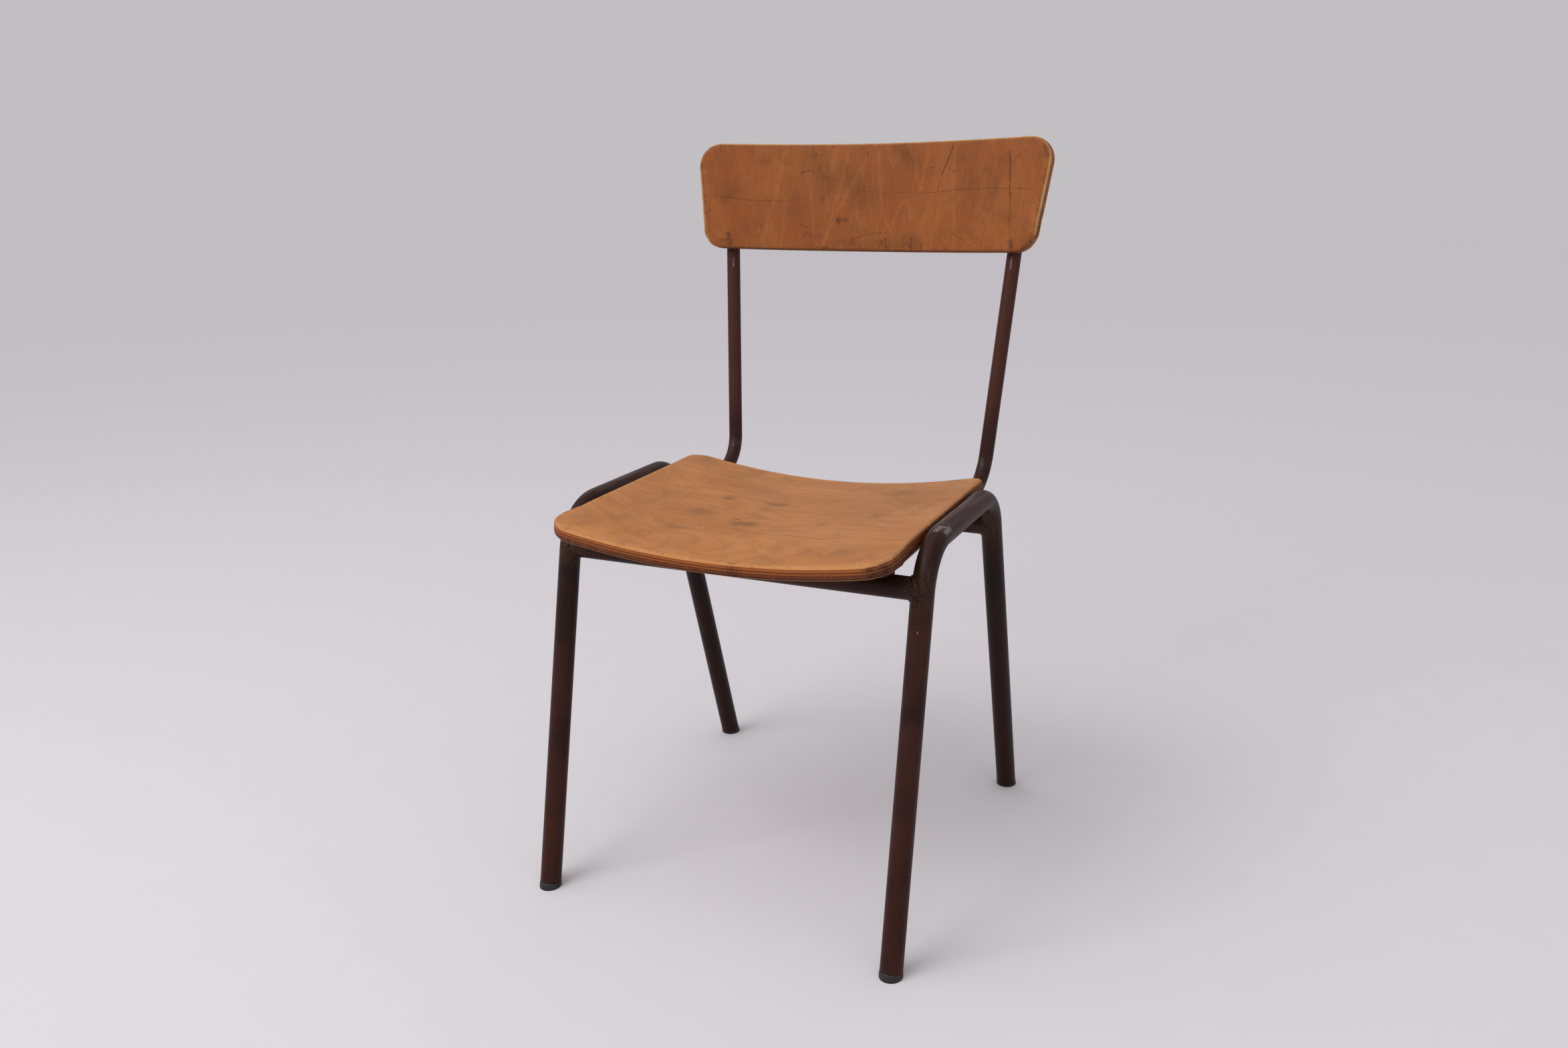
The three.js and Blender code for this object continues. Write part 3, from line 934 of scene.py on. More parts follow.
@dataclass(frozen=True)
class Scuff:
    """A rubbed line on the tubes: its ends on the plan and its half width, in millimetres."""

    start: tuple[float, float, float]
    end: tuple[float, float, float]
    width: float


@dataclass(frozen=True)
class BrownPaint:
    """Semi-gloss maroon-brown paint on tube, rubbed grey with a painted sheen on its tops,
    freckled with rust, painted lighter high up and painted darker on the rear legs for shade.
    """

    deep: tuple[float, float, float] = (0.0140, 0.0038, 0.0020)
    worn: tuple[float, float, float] = (0.034, 0.0095, 0.0052)
    ruddy: tuple[float, float, float] = (0.040, 0.0085, 0.0036)
    # Painted light: a lighter brown for the frame high up, where more light falls.
    upper: tuple[float, float, float] = (0.062, 0.0185, 0.0115)
    # Painted shade: a near-black for the rear legs where the seat shades them.
    sooty: tuple[float, float, float] = (0.0055, 0.0028, 0.0020)
    rust: tuple[float, float, float] = (0.23, 0.062, 0.014)
    ochre: tuple[float, float, float] = (0.062, 0.032, 0.012)
    # Painted sheen: the rail tops turn grey partly from rubbed paint and partly for the light that
    # they reflect.
    rubbed: tuple[float, float, float] = (0.092, 0.066, 0.059)
    bare: tuple[float, float, float] = (0.26, 0.225, 0.215)
    dusty: tuple[float, float, float] = (0.36, 0.31, 0.26)
    specular: float = 0.15
    relief_depth: float = 0.25
    joint_x: float = 214.0
    joints: tuple[tuple[float, float], ...] = ((-136.5, 400.5), (112.3, 402.3))
    scuffs: tuple[Scuff, ...] = (
        Scuff((218.5, -97.0, 453.4), (220.5, -88.0, 455.2), 2.6),
        Scuff((220.5, -88.0, 455.2), (224.5, -84.0, 453.6), 1.3),
        Scuff((227.6, -92.0, 450.0), (227.6, -80.0, 451.6), 2.6),
        Scuff((228.6, -93.0, 448.0), (229.8, -112.0, 432.0), 0.5),
        Scuff((229.8, -112.0, 432.0), (229.6, -124.0, 418.0), 0.4),
        Scuff((211.0, 30.0, 454.0), (211.5, 62.0, 453.6), 1.0),
        Scuff((215.0, -70.0, 455.9), (213.0, -30.0, 455.4), 0.6),
        Scuff((-222.0, 20.0, 455.6), (-221.0, 60.0, 455.4), 1.0),
        Scuff((196.1, 248.8, 693.0), (197.0, 250.9, 707.0), 0.5),
        Scuff((-192.0, 249.5, 692.0), (-192.2, 251.4, 704.0), 0.5),
        Scuff((-192.5, 238.0, 628.0), (-192.3, 239.0, 640.0), 0.35),
        Scuff((-189.0, 226.0, 560.0), (-189.2, 227.0, 566.0), 0.6))
    specks: tuple[Scuff, ...] = (
        Scuff((220.1, -158.4, 360.7), (220.1, -158.1, 361.9), 0.8),
        Scuff((231.0, -75.0, 446.0), (231.0, -73.5, 446.5), 0.6),
        Scuff((216.0, -205.0, 170.0), (216.0, -204.5, 172.0), 0.6),
        Scuff((-216.0, -214.0, 130.0), (-216.0, -213.6, 132.5), 0.6))

    @staticmethod
    def _near(sheet: FinishSheet, spot: Signal, scuffs: Sequence[Scuff], blur: float) -> Signal:
        """How strongly any of several rubbed lines covers a place.

        Args:
            sheet: The material's nodes.
            spot: The place, in the frame's millimetres.
            scuffs: The lines.
            blur: How softly they end.

        Returns:
            The strength, from 0 to 1.
        """
        shift = Vector((0, SHIFT / MM, 0))
        cover = None
        for scuff in scuffs:
            line = (Vector(scuff.start) + shift, Vector(scuff.end) + shift)
            near = sheet.near_segments(spot, [line])
            mask = 1 - near.rise(scuff.width * (1 - blur), scuff.width * (1 + blur) + 0.35)
            cover = mask if cover is None else cover.at_least(mask)
        return cover

    def _coat(self, sheet: FinishSheet, spot: Signal, patch: Signal, low: Signal) -> Signal:
        """The paint: redder low down and in streaks, with painted light making it lighter high up
        and painted shade darkening the rear legs.

        Args:
            sheet: The material's nodes.
            spot: The place, in millimetres.
            patch: Noise in lumps as wide as a tube.
            low: How near the floor the place is, from 0 to 1.

        Returns:
            The paint's colour.
        """
        x, y, z = sheet.parts(spot)
        broad = sheet.cloud(spot, 0.016, 4, 0.4)
        colour = sheet.mix(broad.rise(0.35, 0.68), self.deep, self.worn)
        colour = sheet.mix(low * (0.3 + patch.rise(0.3, 0.75) * 0.5), colour, self.ruddy)
        streaks = sheet.cloud(sheet.combine(x * 0.25, y * 0.25, z * 0.012), 1.1, 3, 0.4)
        colour = sheet.mix(streaks.rise(0.5, 0.75) * 0.35, colour, self.ruddy)
        # Painted light: the frame is made lighter high up, where it is better lit.
        colour = sheet.mix(z.rise(430, 560) * 0.7, colour, self.upper)
        # Painted shade: the rear legs darken towards the back and low down, under the seat.
        shade = (y - SHIFT / MM).rise(10, 100) * (1 - z.rise(340, 440))
        return sheet.mix(shade * 0.55, colour, self.sooty)

    @staticmethod
    def _rubs_and_sheen(sheet: FinishSheet, spot: Signal, ragged: Signal) -> Signal:
        """How far the tops of the rails are rubbed, with a painted sheen along them.

        Args:
            sheet: The material's nodes.
            spot: The place, in millimetres.
            ragged: Noise in lumps of a few millimetres.

        Returns:
            The strength, from 0 to 1.
        """
        x, y, z = sheet.parts(spot)
        rail = z.rise(448.5, 455.0) * (1 - z.rise(458, 462))
        brushed = sheet.cloud(sheet.combine(x * 0.5, y * 0.018, z * 0.1), 0.75, 4, 0.3, 0.6)
        return rail * (brushed.rise(0.40, 0.62) * 0.75 + ragged.rise(0.5, 0.75) * 0.25)

    def _grime(self, sheet: FinishSheet, spot: Signal, patch: Signal) -> Signal:
        """How much grime lies round the joints of the cross rails.

        Args:
            sheet: The material's nodes.
            spot: The place, in millimetres.
            patch: Noise that makes its border uneven.

        Returns:
            The strength, from 0 to 1.
        """
        x, y, z = sheet.parts(spot)
        grime = None
        for depth, height in self.joints:
            away = sheet.vector("DISTANCE", sheet.combine(abs(x), y - SHIFT / MM, z),
                                (self.joint_x, depth, height), output="Value")
            mask = 1 - (away + (patch - 0.5) * 34).rise(12, 34)
            grime = mask if grime is None else grime.at_least(mask)
        return grime

    def build(self) -> bpy.types.Material:
        """Makes the material.

        Returns:
            The material, read on Object coordinates.
        """
        sheet = FinishSheet("brown_tube_paint")
        spot = sheet.place()
        *_, z = sheet.parts(spot)
        patch = sheet.cloud(spot, 0.075, 6, 1.2, 0.62)
        fine = sheet.cloud(spot, 0.9, 5, 0.0, 0.6)
        ragged = sheet.cloud(spot, 0.32, 5, 1.0, 0.7)
        low = 1 - z.rise(30, 330)
        rubs_and_sheen = self._rubs_and_sheen(sheet, spot, ragged)
        # The rail tops: rubbed paint together with a painted sheen.
        colour = sheet.mix(rubs_and_sheen * 0.45, self._coat(sheet, spot, patch, low), self.rubbed)
        rough_spot = sheet.vector("ADD", spot, sheet.combine(
            (ragged - 0.5) * 4.5, (patch - 0.5) * 4.5, (ragged - 0.5) * 3.0))
        bare = self._near(sheet, rough_spot, self.scuffs, 0.5) * ragged.rise(0.34, 0.56)
        colour = sheet.mix(bare * 0.72, colour, self.bare)
        grime = self._grime(sheet, spot, patch)
        colour = sheet.mix(grime * ragged.rise(0.42, 0.62) * 0.7, colour, self.ochre)
        flecks = sheet.cloud(spot, 0.42, 4, 0.3, 0.78).rise(0.665, 0.70)
        flecks = flecks * (0.25 + low * 0.5 + grime * 0.8) * patch.rise(0.40, 0.6)
        flecks = flecks.at_least(self._near(sheet, spot, self.specks, 0.2))
        colour = sheet.mix(flecks.at_most(1.0) * 0.85, colour, self.rust)
        dust = sheet.cloud(spot, 0.6, 3, 0.0, 0.8).rise(0.66, 0.74)
        colour = sheet.mix(dust * 0.16, colour, self.dusty)
        gloss = 0.37 + fine * 0.12 + flecks * 0.3 + dust * 0.2 + bare * 0.1 - rubs_and_sheen * 0.08
        relief = patch * 0.3 + fine * 0.22 - flecks * 0.35 - bare * 0.5
        return sheet.finish({"Base Color": colour, "Roughness": gloss,
                             "Metallic": (rubs_and_sheen * 0.25).at_least(bare * 0.35)},
                            {"Specular IOR Level": self.specular}, relief,
                            self.relief_depth * MM)


@dataclass(frozen=True)
class PlyLayer:
    """One band of a plywood edge, from a height through the board downwards."""

    top: float
    colour: tuple[float, float, float]


@dataclass(frozen=True)
class BoardSignals:
    """The places and noises that the layers of a board's finish share."""

    spot: Signal
    x: Signal
    y: Signal
    height: Signal
    along: Signal
    across: Signal
    wobble: Signal
    broad: Signal
    fibre: Signal
    pores: Signal
    blotch: Signal
    broken: Signal
    rim: Signal


@dataclass(frozen=True)
class WornPly:
    """Thinly varnished plywood with its figure, stained patches, scratches and worn edges, with
    painted shade and a painted highlight along some edges.
    """

    name: str
    half: float
    grain_along_x: bool
    base: tuple[float, float, float]
    pale: tuple[float, float, float]
    deep: tuple[float, float, float]
    golden: tuple[float, float, float]
    grey: tuple[float, float, float]
    layers: tuple[PlyLayer, ...]
    scratches: tuple[Stroke, ...]
    scores: tuple[Stroke, ...]
    figure: tuple[Stroke, ...]
    figure_share: float
    rim_rub: float
    sweep: float
    worn: tuple[float, float, float]
    bared: tuple[float, float, float]
    back: tuple[float, float, float]
    hairlines: tuple[Stroke, ...] = ()
    ink: tuple[float, float, float] = (0.035, 0.014, 0.008)
    dirt_and_shade: tuple[float, float, float] = (0.024, 0.010, 0.006)
    specular: float = 0.16
    relief_depth: float = 0.22

    def _edge(self, sheet: FinishSheet, height: Signal, ripple: Signal) -> Signal:
        """The plies' colours down the edge.

        Args:
            sheet: The material's nodes.
            height: The height through the plies.
            ripple: Noise that makes the glue lines uneven.

        Returns:
            The edge's colour.
        """
        share = (height + (ripple - 0.5) * 1.5) / (2 * self.half) + 0.5
        stops = []
        for layer, below in zip(self.layers, self.layers[1:] + (PlyLayer(-self.half, (0, 0, 0)),)):
            top = layer.top / (2 * self.half) + 0.5
            bottom = below.top / (2 * self.half) + 0.5
            lip = min(0.03, (top - bottom) * 0.42)
            stops.append((max(bottom + lip, 0.0), layer.colour))
            stops.append((min(top - lip, 1.0), layer.colour))
        return sheet.ramp(share, sorted(stops, key=lambda stop: stop[0]))

    def _signals(self, sheet: FinishSheet) -> BoardSignals:
        """Reads the board's places and makes the noises over them.

        Args:
            sheet: The material's nodes.

        Returns:
            The signals.
        """
        spot = sheet.scaled(sheet.attribute("ply_place", "Vector"), 1 / MM)
        x, y, height = sheet.parts(spot)
        along, across = (x, y) if self.grain_along_x else (y, x)
        wobble = sheet.cloud(spot, 0.11, 3)
        sweep = sheet.cloud(sheet.combine(x, y, 40.0), 0.0065, 2)
        across = across + (sweep - 0.5) * self.sweep + (wobble - 0.5) * 3.5
        return BoardSignals(
            spot, x, y, height, along, across, wobble,
            broad=sheet.cloud(sheet.combine(across, along * 0.45, 3.0), 0.017, 4, 0.5),
            fibre=sheet.cloud(sheet.combine(across, along * 0.022, 0.0), 0.95, 4, 0.0, 0.65),
            pores=sheet.cloud(sheet.combine(across, along * 0.13, 5.0), 1.5, 2),
            blotch=sheet.cloud(spot, 0.09, 6, 1.0, 0.65),
            broken=sheet.cloud(spot, 0.17, 5, 0.0, 0.75),
            rim=sheet.attribute("rim_distance"))

    def _wood(self, sheet: FinishSheet, on: BoardSignals) -> Signal:
        """The face ply with its rings, fibres and pores.

        Args:
            sheet: The material's nodes.
            on: The board's signals.

        Returns:
            The wood's colour.
        """
        swell = sheet.cloud(sheet.combine(on.across, on.along * 0.22, 9.0),
                            0.0105, 2.5, 0.6, 0.45)
        ring = abs((swell * 16).fraction() - 0.5) * 2
        colour = sheet.mix(on.broad.rise(0.3, 0.7), self.base, self.pale)
        colour = sheet.mix(ring.rise(0.1, 0.95) * 0.17, colour, self.deep)
        colour = sheet.mix(ring.rise(0.84, 0.98) * self.figure_share, colour, self.golden)
        colour = sheet.mix(on.fibre.rise(0.42, 0.72) * 0.36, colour, self.deep)
        colour = sheet.mix((1 - on.fibre.rise(0.26, 0.44)) * 0.22, colour, self.golden)
        return sheet.mix(on.pores.rise(0.60, 0.72) * 0.38, colour, self.deep)

    def _flames(self, sheet: FinishSheet, on: BoardSignals) -> Signal:
        """The large figure lines, with fainter ones nested round them.

        Args:
            sheet: The material's nodes.
            on: The board's signals.

        Returns:
            The lines' strength, from 0 to 1.
        """
        waved = sheet.vector("ADD", on.spot, sheet.combine(
            (on.wobble - 0.5) * 6, (on.broad - 0.5) * 6, 0.0))
        near = sheet.near_lines(waved, self.figure, self.half, 2.5)
        drawn = (1 - near.rise(0.1, 0.95)) * (0.35 + on.fibre * 0.6)
        drawn = drawn.at_least((1 - near.rise(0.5, 6.0)) * 0.15)
        nested = (abs((near * 0.19 + 0.5).fraction() - 0.5) * 2).rise(0.80, 1.0)
        return drawn.at_least(nested * (1 - near.rise(6.0, 19.0)) * 0.30).at_most(1.0)

    def _marks(self, sheet: FinishSheet, on: BoardSignals) -> Signal:
        """The scratches, scores, nicks and dints in the face.

        Args:
            sheet: The material's nodes.
            on: The board's signals.

        Returns:
            Their strength, from 0 to 1.
        """
        shaky = sheet.vector("ADD", on.spot, sheet.combine(
            (on.wobble - 0.5) * 2.4, (on.blotch - 0.5) * 2.4, 0.0))
        near = sheet.near_lines(shaky, self.scratches, self.half)
        scratch = (1 - near.rise(0.1, 0.7)) * (0.22 + on.broken.rise(0.40, 0.62) * 0.7)
        near = sheet.near_lines(shaky, self.scores, self.half)
        score = 1 - (near - on.broken * 0.9 + 0.35).rise(0.1, 0.95)
        score = score * (0.4 + on.broken.rise(0.34, 0.56) * 0.6)
        nicks = sheet.cloud(sheet.combine(on.across, on.along * 0.35, 2.0), 0.42, 2, 0.5, 0.8)
        nicks = nicks.rise(0.715, 0.745)
        dints = sheet.cloud(sheet.combine(on.across, on.along * 0.45, 12.0), 0.33, 2, 0.3, 0.8)
        dints = dints.rise(0.63, 0.67) * (1 - on.rim.rise(4.0, 13.0))
        marks = scratch.at_least(score).at_least(nicks * 0.6).at_least(dints * 0.55)
        if self.hairlines:
            near = sheet.near_lines(shaky, self.hairlines, self.half)
            faint = (1 - near.rise(0.05, 0.6)) * (0.12 + on.broken.rise(0.4, 0.62) * 0.42)
            marks = marks.at_least(faint)
        return marks

    def _sides(self, sheet: FinishSheet, on: BoardSignals) -> Signal:
        """The board's edge with its plies, its darker blotches, and its grime mixed with painted
        shade.

        Args:
            sheet: The material's nodes.
            on: The board's signals.

        Returns:
            The edge's colour.
        """
        ripple = sheet.cloud(sheet.combine(on.x, on.y, 0.0), 0.08, 5)
        edge = self._edge(sheet, on.height, ripple)
        edge = sheet.mix(on.blotch.rise(0.45, 0.75) * 0.4, edge, self.deep)
        crumbs = sheet.cloud(sheet.combine(on.x, on.y, on.height * 1.6), 0.30, 5, 0.8, 0.7)
        # Painted shade: along some edges this dark mix stands for shade as well as grime.
        dirt_and_shade = sheet.attribute("stain_and_shade") * (0.30 + crumbs.rise(0.40, 0.58) * 0.65)
        return sheet.mix(dirt_and_shade.at_most(0.92), edge, self.dirt_and_shade)

    def build(self) -> bpy.types.Material:
        """Makes the material.

        Returns:
            The material, read on the board's own flat plan.
        """
        sheet = FinishSheet(self.name)
        on = self._signals(sheet)
        colour = sheet.mix(self._flames(sheet, on) * 0.56, self._wood(sheet, on), self.golden)
        murk = sheet.cloud(sheet.combine(on.x, on.y, 70.0), 0.028, 5, 0.8, 0.6)
        colour = sheet.mix(murk.rise(0.48, 0.74) * 0.30, colour, self.grey)
        # Marks on the face; near some edges the same mask paints shade.
        stain_and_shade = sheet.attribute("stain_and_shade") * (0.25 + on.blotch * 1.1)
        colour = sheet.mix(stain_and_shade.at_most(0.85), colour, self.grey)
        # Worn varnish; on the backboard's top arris this is partly a painted highlight.
        wear = sheet.attribute("wear") * on.blotch.rise(0.32, 0.62)
        colour = sheet.mix(wear * 0.6, colour, self.worn)
        rubbed = (1 - on.rim.rise(1.5, 8.0)) * on.blotch.rise(0.38, 0.62)
        colour = sheet.mix(rubbed * self.rim_rub, colour, self.worn)
        # Pale bared wood on worn arrises; on the backboard's top arris it is also a painted
        # highlight.
        arris = sheet.attribute("wear") * (1 - on.rim.rise(0.8, 3.4)) * (0.45 + on.blotch)
        colour = sheet.mix(arris.at_most(0.9), colour, self.bared)
        marks = self._marks(sheet, on)
        colour = sheet.mix(marks.at_most(0.9) * 0.80, colour, self.ink)
        rear = 1 - on.height.rise(-self.half + 0.3, -self.half + 1.2)
        colour = sheet.mix(rear * 0.6, colour, self.back)
        skin = on.height.rise(self.half - 1.9, self.half - 1.3)
        under = 1 - on.height.rise(-self.half + 0.9, -self.half + 1.5)
        colour = sheet.mix(skin.at_least(under), self._sides(sheet, on), colour)
        gloss = 0.42 + on.blotch * 0.16 + stain_and_shade * 0.2 + wear * 0.2 + marks * 0.2
        relief = (on.fibre * 0.25 + on.pores * 0.12 + on.blotch * 0.3 - marks * 1.4
                  - wear * 0.3)
        return sheet.finish({"Base Color": colour, "Roughness": gloss},
                            {"Specular IOR Level": self.specular}, relief,
                            self.relief_depth * MM)


@dataclass(frozen=True)
class BlackPlastic:
    """Matte black plastic, dusty and scuffed near the floor."""

    body: tuple[float, float, float] = (0.012, 0.011, 0.010)
    dust: tuple[float, float, float] = (0.055, 0.050, 0.044)
    specular: float = 0.4
    relief_depth: float = 0.2

    def build(self) -> bpy.types.Material:
        """Makes the material.

        Returns:
            The material, read on Object coordinates.
        """
        sheet = FinishSheet("black_glide_plastic")
        spot = sheet.place()
        *_, z = sheet.parts(spot)
        cloudy = sheet.cloud(spot, 0.25, 6, 0.5, 0.7)
        grain = sheet.cloud(spot, 2.2, 3)
        film = cloudy.rise(0.45, 0.78) * (0.25 + (1 - z.rise(1, 9)) * 0.4)
        colour = sheet.mix(film, self.body, self.dust)
        gloss = 0.5 + film * 0.35 + grain * 0.1
        return sheet.finish({"Base Color": colour, "Roughness": gloss},
                            {"Specular IOR Level": self.specular},
                            grain * 0.3 + cloudy * 0.4, self.relief_depth * MM)


@dataclass(frozen=True)
class RustySteel:
    """Dull zinc-plated steel that has begun to rust."""

    plate: tuple[float, float, float] = (0.30, 0.28, 0.26)
    rust: tuple[float, float, float] = (0.14, 0.055, 0.025)
    relief_depth: float = 0.15

    def build(self) -> bpy.types.Material:
        """Makes the material.

        Returns:
            The material, read on Object coordinates.
        """
        sheet = FinishSheet("rusty_screw_steel")
        spot = sheet.place()
        cloudy = sheet.cloud(spot, 0.5, 6, 0.6, 0.7)
        grain = sheet.cloud(spot, 2.5, 3)
        rusty = cloudy.rise(0.4, 0.6)
        colour = sheet.mix(rusty, self.plate, self.rust)
        return sheet.finish({"Base Color": colour, "Roughness": 0.35 + rusty * 0.45,
                             "Metallic": 0.9 - rusty * 0.8},
                            {}, grain * 0.3 + rusty * 0.5, self.relief_depth * MM)


def dress(piece: bpy.types.Object, material: bpy.types.Material, slot: str,
          *nodes: str) -> None:
    """Gives a piece its material, hangs it on the chair's body and hides the solids that it
    replaces.

    Args:
        piece: The finished piece.
        material: Its finish.
        slot: Not used.
        *nodes: The solids that it replaces.
    """
    piece.data.materials.clear()
    piece.data.materials.append(material)
    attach(piece, BODY)
    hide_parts(*nodes)
    LOG.info("%s: %d faces", piece.name, len(piece.data.polygons))


# The steel frame


@dataclass
class SteelFrame:
    """The bent side frames, the cross rails and the bearers that run on as uprights."""

    paint: bpy.types.Material
    weld_radius: float = 2.9
    weld_around: int = 72
    weld_section: int = 14
    weld_height: float = 0.75
    weld_sink: float = 0.2
    cope_share: float = 0.97
    rail_bite: float = 0.6
    crease_depth: float = 1.1
    crease_reach: float = 17.0
    crease_offset: tuple[float, float, float] = (0.0, 24.0, -15.0)
    bead_radius: float = 2.8
    bead_length: float = 14.0
    bead_spread: float = 6.5
    bead_rise: float = 0.9

    def build(self) -> None:
        """Makes and dresses every piece of the frame."""
        for side in Side:
            self._side_frame(side)
            self._upright(side)
        for end in End:
            self._cross_rail(end)

    def _side_frame(self, side: Side) -> None:
        """Bends one side frame from a single tube.

        Args:
            side: Which side frame.
        """
        tube = BentTube(f"bent_frame_{side.label}", PLAN.leg_radius * MM, PLAN.tube_wall * MM)
        corners = [PLAN.tube_end(side, End.FRONT), PLAN.corner(side, End.FRONT),
                   PLAN.corner(side, End.REAR), PLAN.tube_end(side, End.REAR)]
        piece = tube.lay([placed(corner) for corner in corners],
                         [PLAN.front_bend_radius * MM, PLAN.rear_bend_radius * MM])
        self._crease(piece, side)
        Bench.smooth(piece, 40)
        dress(piece, self.paint, "painted_tube", f"side_frame_{side.label}")

    def _crease(self, piece: bpy.types.Object, side: Side) -> None:
        """Draws in the inside of the front bend, where the tube has buckled a little.

        Args:
            piece: The bent tube.
            side: Which side frame it is.
        """
        middle = placed(PLAN.corner(side, End.FRONT) + Vector(self.crease_offset))
        for vertex in piece.data.vertices:
            away = (vertex.co - middle).length / MM
            if away < self.crease_reach:
                fold = math.cos(away / self.crease_reach * math.pi / 2) ** 2
                vertex.co += Vector((0, -0.7, 0.7)) * self.crease_depth * fold * MM

    def _cross_rail(self, end: End) -> None:
        """Fits a cross rail between the legs, with its welds.

        Args:
            end: The front or rear rail.
        """
        right, left = (placed(PLAN.cross_point(side, end)) for side in (Side.RIGHT, Side.LEFT))
        tube = BentTube(f"cross_rail_{end.value}", PLAN.leg_radius * MM, PLAN.tube_wall * MM)
        rail = tube.lay([right, left], [])
        for vertex in rail.data.vertices:
            side = Side.LEFT if vertex.co.x > 0 else Side.RIGHT
            vertex.co.x = side.value * (abs(vertex.co.x) - self._cope(vertex.co, side, end)
                                        + self.rail_bite * MM)
        Bench.smooth(rail, 40)
        welds = [self._weld(side, end) for side in Side]
        Bench.join(rail, welds)
        dress(rail, self.paint, "painted_tube", f"{end.value}_cross_rail")

    def _cope(self, point: Vector, side: Side, end: End) -> float:
        """How far short of the leg's axis the rail's end stops at a point of its rim.

        Args:
            point: The point on the rim, in metres.
            side: Which leg.
            end: Which rail.

        Returns:
            The distance in metres.
        """
        leg = PLAN.leg_direction(side, end)
        square = Vector((1, 0, 0)).cross(leg).normalized()
        aside = (point - placed(PLAN.cross_point(side, end))).dot(square) * self.cope_share
        return math.sqrt(max((PLAN.leg_radius * MM) ** 2 - aside ** 2, 0.0))

    def _seam(self, angle: float, side: Side, end: End) -> Vector:
        """A point of the seam between a cross rail and a leg.

        Args:
            angle: How far round the rail it lies, in radians.
            side: Which leg.
            end: Which rail.

        Returns:
            The point, in metres.
        """
        ring = Vector((0, math.cos(angle), math.sin(angle)))
        spot = placed(PLAN.cross_point(side, end)) + ring * PLAN.leg_radius * MM
        return spot - Vector((side.value * self._cope(spot, side, end), 0, 0))

    def _weld(self, side: Side, end: End) -> bpy.types.Object:
        """Runs a weld round the seam between a cross rail and a leg.

        Args:
            side: Which leg.
            end: Which rail.

        Returns:
            The bead.
        """
        Bench.clear()
        radius, bead = PLAN.leg_radius * MM, self.weld_radius * MM
        bpy.ops.mesh.primitive_torus_add(major_segments=self.weld_around,
                                         minor_segments=self.weld_section,
                                         major_radius=radius, minor_radius=bead)
        weld = Bench.settle(f"weld_{side.label}_{end.value}")
        middle = placed(PLAN.cross_point(side, end))
        leg = PLAN.leg_direction(side, end)
        for vertex in weld.data.vertices:
            angle = math.atan2(vertex.co.y, vertex.co.x)
            seam = self._seam(angle, side, end)
            along = (self._seam(angle + 0.02, side, end)
                     - self._seam(angle - 0.02, side, end)).normalized()
            ring = Vector((0, math.cos(angle), math.sin(angle)))
            away = seam - middle
            outwards = (ring + (away - leg * away.dot(leg)).normalized()).normalized()
            across = along.cross(outwards).normalized()
            ripple = 1 + 0.03 * math.sin(angle * 19) + 0.22 * noise.noise(ring * 2.5 + middle * 9)
            out = (math.hypot(vertex.co.x, vertex.co.y) - radius) * ripple * self.weld_height
            vertex.co = (seam + outwards * (out - bead * self.weld_sink)
                         + across * vertex.co.z * ripple)
        Bench.face_outwards(weld)
        Bench.smooth(weld, 60)
        return weld

    def _upright(self, side: Side) -> None:
        """Bends one seat bearer and back upright from a single tube.

        Args:
            side: Which upright.
        """
        front_y = PLAN.cross_point(side, End.FRONT).y - PLAN.bearer_front_overhang
        start = Vector((side.value * PLAN.bearer_half_spacing, front_y,
                        PLAN.bearer_height(front_y)))
        elbow = PLAN.upright_point(side, PLAN.bearer_height(PLAN.upright_foot_y))
        top = PLAN.upright_point(side, PLAN.upright_top)
        tube = BentTube(f"upright_{side.label}", PLAN.bearer_radius * MM, PLAN.tube_wall * MM, 40)
        piece = tube.lay([placed(point) for point in (start, elbow, top)],
                         [PLAN.upright_bend_radius * MM])
        Bench.smooth(piece, 40)
        beads = [self._bead(side, end, edge) for end in End for edge in (-1, 1)]
        Bench.join(piece, beads)
        dress(piece, self.paint, "painted_tube", f"back_upright_{side.label}")

    def _bead(self, side: Side, end: End, edge: int) -> bpy.types.Object:
        """Lays a short weld in the crease beside a bearer on a cross rail.

        Args:
            side: Which bearer.
            end: Which rail.
            edge: Which side of the bearer, -1 or 1 along X.

        Returns:
            The bead.
        """
        Bench.clear()
        bpy.ops.mesh.primitive_uv_sphere_add(segments=24, ring_count=14,
                                             radius=self.bead_radius * MM)
        bpy.ops.transform.resize(value=(1, self.bead_length / self.bead_radius / 2, 1))
        bead = Bench.settle(f"bead_{side.label}_{end.value}_{edge + 1}")
        rail = PLAN.cross_point(side, end)
        spot = placed(Vector((side.value * PLAN.bearer_half_spacing + edge * self.bead_spread,
                              rail.y, rail.z + PLAN.leg_radius + self.bead_rise)))
        for vertex in bead.data.vertices:
            vertex.co *= 1 + 0.18 * noise.noise(vertex.co * 400 + spot * 50)
            vertex.co += spot
        Bench.smooth(bead, 60)
        return bead


